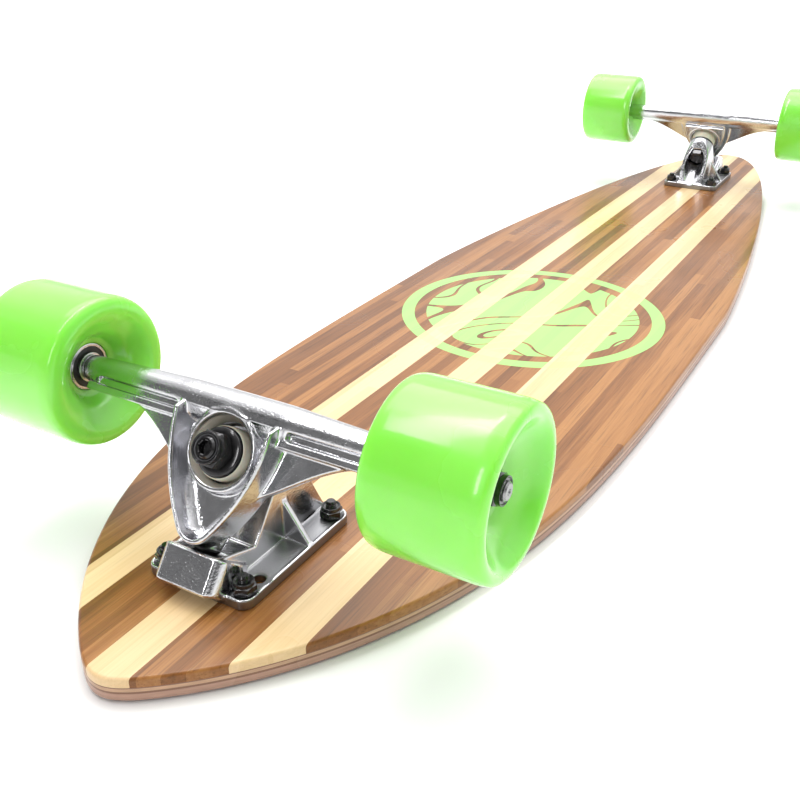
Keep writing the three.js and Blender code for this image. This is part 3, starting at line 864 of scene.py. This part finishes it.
def with_webs(body, x, s, n):
    """Adds the side webs and the lip along under the bar, and hollows the shield's dish."""
    side = np.abs(x)
    web = smooth_max(outline_field(gusset_outline(), side, s), np.abs(n - WEB_N) - 1.9, 0.6)
    body = smooth_min(body, web, 1.6)
    lip = box_field(side, 20, 80, s, 44.9, 48.6, n, 38, 47.6)
    body = smooth_min(body, lip, 1.0)
    hollow = smooth_max(outline_field(shield_outline(2.2), x, s), 40 - n, 8.5)
    return smooth_max(body, -hollow, 1.1)


def with_bar(body, x, s, n, from_axle):
    """Adds the bar round the axle, which thins outwards, and cuts the slot under it."""
    side = np.abs(x)
    bar_radius = np.interp(side, [24, BAR_HALF], [8.6, 6.0])
    bar = smooth_max(from_axle - bar_radius, side - BAR_HALF, 0.8)
    body = smooth_min(body, bar, 1.4)
    end = np.maximum(side - 74, 30 - side)
    slot = np.hypot(np.maximum(end, 0), s - SLOT_S) - SLOT_HALF
    return smooth_max(body, -all_of(slot, 44.9 - n), 0.8)


def with_pivot(body, x, s, n):
    """Adds the pivot, whose radius is given at places along the steering axis."""
    places = [-14.8, -13.6, -11.5, -9.8, -7.3, -6.0, -4.6, -2.6, 6, 14]
    radii = [0.3, 3.2, 4.7, 5.0, 4.4, 4.6, 5.0, 6.6, 8.2, 8.2]
    from_pivot = np.hypot(x, n - PIVOT_N)
    pivot = all_of(
        from_pivot - np.interp(s, places, radii), places[0] - s, s - places[-1], n - 39.5)
    return smooth_min(body, pivot, 0.8)


def hanger_field(x, s, n):
    rim = (n - RIM_N - RIM_SLOPE * (s - RIM_S)) / math.hypot(1, RIM_SLOPE)
    from_cup = np.hypot(x, s - CUP_S)
    from_kingpin = np.hypot(x, s - KINGPIN_S)
    from_axle = np.hypot(s - AXLE_S, n - AXLE_N)
    body = with_webs(shield_body(x, s, n, rim), x, s, n)
    body = with_bar(body, x, s, n, from_axle)

    # The cup round the kingpin's nut, and the skirt over the board side's bushing.
    cup = smooth_max(from_cup - CUP_RADIUS, rim + CUP_DROP, 0.7)
    body = smooth_min(body, all_of(cup, 32.6 - n), 1.3)
    skirt = all_of(from_kingpin - SKIRT_RADIUS, 27.6 - n, n - 40)
    body = smooth_min(body, skirt, 1.0)
    body = with_pivot(body, x, s, n)

    # The seats of the two bushings, the kingpin's hole and the axle's hole.
    mouth = np.interp(n, [32, 42.6, 46.2, 60], [SEAT_RADIUS, SEAT_RADIUS, MOUTH_RADIUS, MOUTH_RADIUS])
    body = smooth_max(body, -all_of(from_cup - mouth, 36.2 - n), 0.35)
    body = np.maximum(body, -all_of(from_kingpin - SEAT_RADIUS, n - 32.6))
    body = smooth_max(body, -(from_kingpin - KINGPIN_HOLE), 0.4)
    return np.maximum(body, -(from_axle - AXLE_RADIUS - 0.15))


# ---- Baseplate ----

PLATE_CORNER = 5.5
TRAY_INSET = 1.5
SEAT_N = 18.4
SEAT_HALF = 12.5
HOUSING_HALF = 16
HOUSING_N = 44


def steering_point(s, n):
    """A point of the steering frame as (y, z) in the truck's own frame."""
    sine, cosine = math.sin(STEER_ANGLE), math.cos(STEER_ANGLE)
    return s * cosine - n * sine, s * sine + n * cosine - STEERING_DROP


def spine_side():
    """Side view (y, z) of the spine that carries the kingpin's seat and the pivot housing."""
    heel = PLATE_HALF_Y - 0.5
    boss_top = KINGPIN_S + SEAT_HALF
    return [
        (1 - PLATE_HALF_Y, 0), steering_point(-21, 42.8), steering_point(-20, HOUSING_N),
        steering_point(-6, HOUSING_N), steering_point(-5, 43), steering_point(-4, 38),
        steering_point(2.6, SEAT_N), steering_point(boss_top, SEAT_N),
        steering_point(boss_top, SEAT_N - 4), (29.2, 21.7), (heel, PLATE_FLOOR), (heel, 0),
    ]


def rounded_box(x, y, half_x, half_y, radius):
    dx = np.abs(x) - half_x + radius
    dy = np.abs(y) - half_y + radius
    outside = np.hypot(np.maximum(dx, 0), np.maximum(dy, 0))
    return outside + np.minimum(np.maximum(dx, dy), 0) - radius


def foot_and_spine(x, y, z, s):
    """The foot with its shallow tray, and the spine that stands on it."""
    foot = rounded_box(x, y, PLATE_HALF_X, PLATE_HALF_Y, PLATE_CORNER)
    foot = smooth_max(foot, z - PLATE_RIM, 0.7)
    tray = rounded_box(
        x, y, PLATE_HALF_X - TRAY_INSET, PLATE_HALF_Y - TRAY_INSET, PLATE_CORNER - TRAY_INSET)
    foot = smooth_max(foot, -smooth_max(tray, PLATE_FLOOR - z, 0.5), 0.4)
    round_top = np.hypot(x, np.maximum(s - KINGPIN_S, 0)) - SEAT_HALF
    spine = smooth_max(outline_field(spine_side(), y, z), round_top, 0.8)
    return smooth_min(foot, spine, 1.6)


def with_housing(body, x, y, z, s, n):
    """Adds the pivot housing, a block with bevelled edges, and its toe past the foot's end."""
    side = np.abs(x)
    bevel = (side - HOUSING_HALF + n - HOUSING_N + 3.4) / math.sqrt(2)
    housing = smooth_max(smooth_max(side - HOUSING_HALF, n - HOUSING_N, 1.2), bevel, 2.4)
    housing = all_of(smooth_max(housing, -20.5 - s, 1.3), 22 - n)
    standing = all_of(smooth_max(housing, s + 5, 0.8), y + 16, PLATE_FLOOR - 1 - z)
    toe = all_of(housing, z - PLATE_FLOOR, y + 30)
    body = smooth_min(body, standing, 1.2)
    return smooth_min(body, toe, 1.2)


def with_ribs(body, x, y, z):
    """Adds a rib each side of the kingpin's seat."""
    foot_side, rib_top, rib_root = PLATE_HALF_X - 1, 24.1, 11
    outline = [
        (rib_root, PLATE_FLOOR - 1), (foot_side, PLATE_FLOOR - 1), (foot_side, PLATE_RIM),
        (rib_root + 1.4, rib_top), (rib_root, rib_top)]
    rib = smooth_max(outline_field(outline, np.abs(x), z), np.abs(y - 8) - 1.5, 0.6)
    return smooth_min(body, rib, 1.2)


def baseplate_field(x, y, z):
    sine, cosine = math.sin(STEER_ANGLE), math.cos(STEER_ANGLE)
    s = y * cosine + (z + STEERING_DROP) * sine
    n = -y * sine + (z + STEERING_DROP) * cosine
    side = np.abs(x)
    from_kingpin = np.hypot(x, s - KINGPIN_S)
    from_pivot = np.hypot(x, n - PIVOT_N)
    body = with_housing(foot_and_spine(x, y, z, s), x, y, z, s, n)
    body = with_ribs(body, x, y, z)
    body = np.maximum(body, -z)

    # The channel above the seat, the pivot's socket, the kingpin's hole and its head's pocket.
    channel = box_field(side, -1, 10.7, s, -5, 60, n, SEAT_N + 2, 41.5)
    body = smooth_max(body, -all_of(channel, PLATE_FLOOR - z), 0.6)
    body = smooth_max(body, -all_of(from_pivot - 8.1, -16.6 - s), 0.5)
    body = np.maximum(body, -all_of(from_kingpin - 4.9, n - 30))
    body = np.maximum(body, -all_of(from_kingpin - 9, n - 6.6))

    # Six bolt holes, each in a spot-faced pad.
    for hole_y in (-BOLT_Y, SPARE_Y, BOLT_Y):
        from_hole = np.hypot(side - BOLT_X, y - hole_y)
        body = smooth_max(body, -(from_hole - BOLT_RADIUS), 0.5)
        body = smooth_max(body, -all_of(from_hole - 5.9, PLATE_FLOOR + 0.25 - z), 0.3)
    return body


def cast_mesh(name, field, low, high):
    """A casting's mesh in metres in its own frame, thinned where it is flat."""
    step = CAST_STEP * 1
    low = np.array(low, float) - 1.5
    high = np.array(high, float) + 1.5
    points, faces = skin(field(*grid(low, high, step)), low, step)
    piece = link_object(name, make_mesh(name, points * MM, faces))
    thin = piece.modifiers.new("thin", "DECIMATE")
    thin.ratio = 0.35
    mesh = evaluated_mesh(piece)
    bpy.data.objects.remove(piece)
    return mesh


def build_castings():
    hanger = cast_mesh("hanger_cast", hanger_field, hanger_low, hanger_high)
    plate = cast_mesh("baseplate_cast", baseplate_field, plate_low, plate_high)
    for truck in TRUCKS:
        for name, mesh, place, body in (
            ("hanger", hanger, steering_place(truck), "hanger_body_" + truck),
            ("baseplate", plate, TRUCKS[truck], "board"),
        ):
            mesh = mesh.copy()
            mesh.transform(place)
            piece = make_object(f"{name}_casting_{truck}", mesh, ALUMINIUM, 60)
            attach(piece, body)
            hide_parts(f"{name}_{truck}")


# ---- Bolts, nuts and the kingpin's stack ----


def nut_shape(flats, low, hex_top, top, collar, bore, fillet=1.2):
    """A nut with chamfered hexagon corners and a round domed collar for its insert."""
    face = flats * 0.48
    corner = flats / math.sqrt(3)
    slope = (corner - flats / 2) * 0.6
    reach = corner + 0.1
    hexed = [(face, low)]
    hexed += [(face + (reach - face) * k / 4, low + slope * k / 4) for k in range(1, 5)]
    hexed += [(reach - (reach - collar) * k / 4, hex_top - slope * (4 - k) / 4) for k in range(5)]
    dome = rounded([
        (collar, hex_top), (collar, top, fillet), (bore + 1.3, top, 0.4),
        (bore + 0.9, top - 0.6, 0.2), (bore, top - 0.6)])

    def radius_at(i, radius, height, angle):
        return min(radius, hex_radius(angle, flats)) if i < len(hexed) else radius
    return turned(hexed + dome[1:] + [(bore, low)], 72, radius_at)


def bolt_shape(head, neck, end):
    """A deck bolt with a socket in its countersunk head and a thread along its shank."""
    start, stop = 2.0, end - 0.7
    profile = rounded([
        (0, head + 1.5), (1.7, head + 1.5, 0.2), (2.2, head + 0.1, 0.3), (4.5, head, 0.3),
        (4.6, head + 0.5, 0.2), (2.5, neck + 0.4, 0.3), (2.5, start)])
    profile += thread_rings(2.5, start, stop, 0.8)[1:] + [(1.9, end), (0, end)]
    return turned(profile, 36, thread(0.8, 0.32, start, stop))


def kingpin_shape():
    """The kingpin: a hexagon head below, a thread under the nut and a hexagon socket on top."""
    shank, head_back, head_seat = 4.75, kingpin_low[2], 6.3
    start, end = 44.0, KINGPIN_END - 0.9
    socket_floor = KINGPIN_END - 4
    head = rounded([
        (0, head_back), (6.2, head_back, 0.3), (8.1, head_back + 1.2, 0.2), (8.1, head_seat, 0.3),
        (shank, head_seat, 0.3), (shank, start)])
    screwed = head + thread_rings(shank, start, end, 1.25)[1:]
    screwed += [(4.0, KINGPIN_END), (3.35, KINGPIN_END), (3.2, KINGPIN_END - 0.35)]
    pocket = [(3.2, KINGPIN_END - 0.6), (3.2, socket_floor), (0, socket_floor - 0.8)]
    screw = thread(1.25, 0.55, start, end)

    def radius_at(i, radius, height, angle):
        if i >= len(screwed) and radius > 0:
            return min(radius, hex_radius(angle, 5.5))
        if height <= head_seat and radius > 5:
            return min(radius, hex_radius(angle, 14))
        return screw(i, radius, height, angle)
    return on_kingpin(turned(screwed + pocket, 72, radius_at))


def stack_extent(node):
    """(low, high, radius) of a node that is threaded on the kingpin."""
    low, high = extent(node + "_near", near_steering)
    return low[2], high[2], high[0]


def build_hardware():
    bolt_low, bolt_high = extent("deck_bolt_near_1", TRUCKS["near"])
    nut_low, nut_high = extent("deck_nut_near_1", TRUCKS["near"])
    bolt = bolt_shape(bolt_low[2], bolt_low[2] + 2.4, bolt_high[2])
    hex_top = nut_low[2] + (nut_high[2] - nut_low[2]) * 0.68
    nut = nut_shape(9.5, nut_low[2], hex_top, nut_high[2], 4.45, 2.45)
    for truck, place in TRUCKS.items():
        for k, (x, y) in enumerate(BOLT_PLACES):
            label = f"{truck}_{k + 1}"
            turn = Matrix.Rotation(0.4 + 1.3 * k, 4, "Z")
            spot = place @ Matrix.Translation((x * MM, y * MM, 0)) @ turn
            add_piece("bolt", label, bolt, spot, BLACK, "board", "deck_bolt")
            add_piece("lock_nut", label, nut, spot, BLACK, "board", "deck_nut", 30)


WASHER_BORE = 5.1


def seat_washer_shape():
    low, high, radius = stack_extent("washer_board")
    flat = [(WASHER_BORE, low), (radius, low, 0.35), (radius, high, 0.35), (WASHER_BORE, high)]
    return on_kingpin(turned(rounded(flat), 64))


def cup_washer_shape():
    low, high, radius = stack_extent("washer_road")
    cupped = [
        (WASHER_BORE, low), (radius - 0.9, low, 0.2), (radius - 0.5, low - 0.5, 0.15),
        (radius, low - 0.35, 0.2), (radius - 0.5, high - 0.6, 0.7), (radius - 2.4, high, 0.9),
        (WASHER_BORE, high)]
    return on_kingpin(turned(rounded(cupped, 6), 72))


def kingpin_nut_shape():
    low, high, _ = stack_extent("kingpin_nut")
    return on_kingpin(nut_shape(14.3, low, low + 5.9, high, 6.75, 4.85, 1.5))


def nut_insert_shape():
    bore, top = 4.6, stack_extent("kingpin_nut")[1]
    ring = [
        (bore, top - 1.9), (5.6, top - 1.9), (5.6, top - 0.45, 0.2), (4.75, top - 0.7, 0.2),
        (bore, top - 1.0)]
    return on_kingpin(turned(rounded(ring), 48))


def barrel_shape(radius, low, high, bulge):
    """A bushing whose wall bulges under the nut's load."""
    profile = [
        (WASHER_BORE, low + 0.2), (WASHER_BORE + 0.3, low), (radius - 1.0, low),
        (radius - 0.5, low + 0.15)]
    for k in range(9):
        out = bulge * math.sin(math.pi * k / 8)
        profile.append((radius - 0.35 + out, low + 0.5 + (high - low - 1.0) * k / 8))
    profile += [
        (radius - 0.5, high - 0.15), (radius - 1.0, high), (WASHER_BORE + 0.3, high),
        (WASHER_BORE, high - 0.2)]
    return on_kingpin(turned(profile, 72))


def pivot_bush_shape():
    """A cup round the hanger's pivot, turned about the steering axis."""
    low, high = extent("pivot_cup_near", near_steering)
    radius, back, lip = high[0], low[1], high[1]
    cup = rounded([
        (0, back), (radius, back, 0.8), (radius, lip - 0.6, 0.2), (radius + 0.5, lip - 0.5, 0.2),
        (radius + 0.4, lip, 0.3), (5.9, lip, 0.4), (5.3, -8.8, 0.4), (5.3, -10.8, 0.4),
        (3.6, -15.1, 0.3), (0, -15.1)])
    points, faces = turned(cup, 48)
    return np.stack([points[:, 0], points[:, 2], PIVOT_N - points[:, 1]], axis=1), faces


def add_bushing(truck, name, bulge):
    """A cushion between its washer and the hanger, on no body, with its placing baked into the mesh."""
    place = steering_place(truck)
    low, high, radius = stack_extent(name)
    barrel = barrel_shape(radius, low, high, bulge)
    cushion = add_piece(
        name + "_cushion", truck, barrel, place, BUSHING, None, name)
    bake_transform(cushion)


def build_stack(truck):
    place = steering_place(truck)
    for name, shape, material, node, slot, smooth_angle in (
        ("kingpin_bolt", kingpin_shape(), BLACK, "kingpin", "black_steel", 30),
        ("seat_washer", seat_washer_shape(), BLACK, "washer_board", "black_steel", 35),
        ("cup_washer", cup_washer_shape(), BLACK, "washer_road", "black_steel", 35),
        ("kingpin_lock_nut", kingpin_nut_shape(), BLACK, "kingpin_nut", "black_steel", 30),
        ("kingpin_nut_insert", nut_insert_shape(), NYLON, None, "pivot_plastic", 35),
    ):
        add_piece(name, truck, shape, place, material, "board", node, smooth_angle)
    add_bushing(truck, "bushing_road", 0.35)
    add_bushing(truck, "bushing_board", 0.5)
    add_piece(
        "pivot_bush", truck, pivot_bush_shape(), place, PIVOT, "board", "pivot_cup")


# ---- Axles and wheels ----


def axle_shape():
    """A rod through the whole hanger, threaded at both ends."""
    start = 108.0
    tip = AXLE_HALF - 0.8
    screw = thread(1.06, 0.42, start, tip)
    middle = [(AXLE_RADIUS, 60.0), (AXLE_RADIUS, 86.0)]
    end = [
        (AXLE_RADIUS - 0.75, AXLE_HALF - 0.05), (1.3, AXLE_HALF), (1.0, AXLE_HALF - 0.7),
        (0, AXLE_HALF - 0.9)]
    right = middle + thread_rings(AXLE_RADIUS, start, tip, 1.06) + end
    profile = [(radius, -height) for radius, height in right][::-1] + right

    def radius_at(i, radius, height, angle):
        return screw(i, radius, abs(height), angle)
    return along_x(turned(profile, 48, radius_at))


def wheel_shape():
    """The tyre: (radius, place along the axle) round its section, from the inner bearing's seat."""
    inner, outer, radius = WHEEL_INNER, WHEEL_OUTER, WHEEL_RADIUS
    profile = [
        (11.2, 88.3), (11.9, 87.9, 0.3), (13.8, 87.5, 0.8), (17.5, 81.6, 2.4),
        (24.4, inner + 1.6, 2.2), (27.2, inner + 0.2, 0.9), (30.4, inner, 1.6),
        (34.0, inner + 1.3, 2.0), (radius, inner + 5.2, 2.2), (radius, outer - 5.2, 2.2),
        (34.0, outer - 1.2, 2.0), (31.6, outer, 1.2), (29.4, outer - 0.1, 0.9),
        (28.0, outer - 1.2, 0.9), (23.0, outer - 6.6, 3.5), (15.6, 115.2, 2.0), (13.0, 113.4, 0.6),
        (11.2, 112.7), (11.2, 105.2), (9.0, 105.2), (9.0, 95.8), (11.2, 95.8),
    ]
    return along_x(turned(rounded(profile, 7), 144))


def race_shapes(start, end):
    """Outer race, shield and inner race of a bearing, between two places along the axle."""
    outer = rounded([
        (9.55, start, 0.15), (9.7, start, 0.15), (11, start, 0.5), (11, end, 0.5),
        (9.55, end, 0.15), (9.3, end - 0.4), (9.3, start + 0.4), (9.55, start)])
    inner = rounded([
        (4.1, start), (5.9, start, 0.25), (6.2, start + 0.4), (6.2, end - 0.4), (5.9, end, 0.25),
        (4.1, end), (4.1, start)])
    shield = rounded([
        (6.25, start + 0.5), (6.9, start + 0.35, 0.2), (8.7, start + 0.35, 0.2), (9.45, start + 0.6),
        (9.45, end - 0.6), (8.7, end - 0.35, 0.2), (6.9, end - 0.35, 0.2), (6.25, end - 0.5)])
    return (
        ("outer_race", outer, BEARING_STEEL), ("seal", shield, SHIELD),
        ("inner_race", inner, BEARING_STEEL))


def tube_profile(bore, radius, start, end, fillet):
    return rounded([
        (bore, start), (radius, start, fillet), (radius, end, fillet), (bore, end), (bore, start)])


def build_wheel_set(truck, side):
    place = axle_place(truck, side)
    label = f"{truck}_{side}"
    wheel = "wheel_body_" + label
    hanger = "hanger_body_" + truck
    add_piece("tyre", label, wheel_shape(), place, URETHANE, wheel, "wheel", 50)
    for row in ("inner", "outer"):
        node = "bearing_" + row
        for name, profile, material in race_shapes(*wheel_set_span(node)):
            ring = along_x(turned(profile, 64))
            add_piece(f"{name}_{row}", label, ring, place, material, wheel, node)

    start, end = wheel_set_span("bearing_spacer")
    tube = along_x(turned(tube_profile(4.2, 5.6, start, end, 0.3), 40))
    ring = along_x(turned(tube_profile(4.1, 6.9, BAR_HALF + 0.15, WHEEL_INNER + 13.1, 0.25), 48))
    start, end = wheel_set_span("axle_nut")
    nut = along_x(nut_shape(12.7, start, end - 2.1, end, 5.9, 4.05))
    for name, shape, material, node, slot, smooth_angle in (
        ("spacer_tube", tube, BEARING_STEEL, "bearing_spacer", "bearing_steel", 35),
        ("speed_ring", ring, BEARING_STEEL, None, "bearing_steel", 35),
        ("axle_lock_nut", nut, BLACK, "axle_nut", "black_steel", 30),
    ):
        add_piece(name, label, shape, place, material, hanger, node, smooth_angle)


def build_running_gear():
    for truck in TRUCKS:
        add_piece(
            "axle_rod", truck, axle_shape(), axle_place(truck, "right"), AXLE_STEEL,
            "hanger_body_" + truck, "axle")
        for side in ("right", "left"):
            build_wheel_set(truck, side)


# ---- Room ----

# The camera's angles in radians, and its lens and place, worked out from known truck sizes.
CAMERA_YAW = -0.52430
CAMERA_PITCH = 0.47136
CAMERA_ROLL = 0.0039
CAMERA_LENS = 42.18
CAMERA_PLACE = (0.22849, -0.67685, 0.26007)

# The world glows white towards a wall behind the object and grows dark the other way.
WALL_DIRECTION = (-0.05, 0.75, 0.66)
WALL_GLOW = ((0.0, 0.15), (0.10, 0.20), (0.36, 0.55), (0.58, 1.0), (1.0, 1.0))
WORLD_STRENGTH = 1.25


def build_camera():
    """Stands near the nose, a little to its right, as the photographer did."""
    flat = math.cos(CAMERA_PITCH)
    forward = Vector((
        math.sin(CAMERA_YAW) * flat, math.cos(CAMERA_YAW) * flat, -math.sin(CAMERA_PITCH)))
    right = Vector((math.cos(CAMERA_YAW), -math.sin(CAMERA_YAW), 0))
    up = right.cross(forward)
    tilted_right = math.cos(CAMERA_ROLL) * right + math.sin(CAMERA_ROLL) * up
    tilted_up = math.cos(CAMERA_ROLL) * up - math.sin(CAMERA_ROLL) * right
    data = bpy.data.cameras.new("camera")
    data.sensor_width = 36
    data.lens = CAMERA_LENS
    data.clip_start = 0.01
    camera = link_object("camera", data)
    turn = Matrix((tilted_right, tilted_up, -forward)).transposed().to_4x4()
    camera.matrix_world = Matrix.Translation(CAMERA_PLACE) @ turn
    bpy.context.scene.camera = camera


def build_floor():
    """A wide pale floor that curves up a little, far from the object."""
    rings, spokes = 40, 96
    reach, flat, rise = 16.0, 6.0, 3.0
    sunk = 0.0002
    points = [(0, 0, -sunk)]
    for i in range(1, rings + 1):
        radius = reach * i / rings
        height = rise * max(0, (radius - flat) / (reach - flat)) ** 2 - sunk
        for j in range(spokes):
            angle = 2 * math.pi * j / spokes
            points.append((radius * math.cos(angle), radius * math.sin(angle), height))
    faces = [[0, 1 + j, 1 + (j + 1) % spokes] for j in range(spokes)]
    for i in range(rings - 1):
        for j in range(spokes):
            a = 1 + i * spokes + j
            b = 1 + i * spokes + (j + 1) % spokes
            faces.append([a, a + spokes, b + spokes, b])
    make_object("floor", make_mesh("floor", points, faces), floor_material())


def area_light(name, spot, target, size, power):
    data = bpy.data.lights.new(name, "AREA")
    data.shape = "RECTANGLE"
    data.size, data.size_y = size
    data.energy = power
    lamp = link_object(name, data)
    lamp.location = spot
    lamp.rotation_euler = (Vector(target) - Vector(spot)).to_track_quat("-Z", "Y").to_euler()


def build_world():
    """The dark side is patchy, as a real room is; the white side stays even."""
    world = bpy.data.worlds.new("studio")
    bpy.context.scene.world = world
    n = Nodes(world, "Generated")
    towards_wall = {0: n.place, 1: WALL_DIRECTION}
    glow = n.ramp(n.add("VectorMath", towards_wall, "Value", operation="DOT_PRODUCT"), *WALL_GLOW)
    spread = {"From Min": 0.40, "From Max": 0.60, "To Min": 0.30, "To Max": 2.0}
    patches = n.add("MapRange", {"Value": n.noise(11.0, 2.0), **spread}, "Result")
    patchy = n.mix(1.0, glow, patches, "MULTIPLY")
    background = n.tree.nodes["Background"]
    n.link(n.mix(glow, patchy, glow), background.inputs["Color"])
    background.inputs["Strength"].default_value = WORLD_STRENGTH


def build_light():
    build_world()
    area_light("overhead", (-0.5, 1.25, 2.4), (-0.5, 1.25, 0), (3.2, 3.1), 70)
    area_light("edge", (-0.45, -0.27, 1.5), (-0.1, -0.35, 0.08), (1.7, 0.16), 9)
    area_light("strip", (0.0, -1.62, 0.96), (0, -0.42, 0.06), (0.16, 0.8), 5)
    bpy.context.scene.view_settings.view_transform = "Standard"


build_camera()
build_light()
build_floor()
build_deck()
build_castings()
build_hardware()
for truck_name in TRUCKS:
    build_stack(truck_name)
build_running_gear()
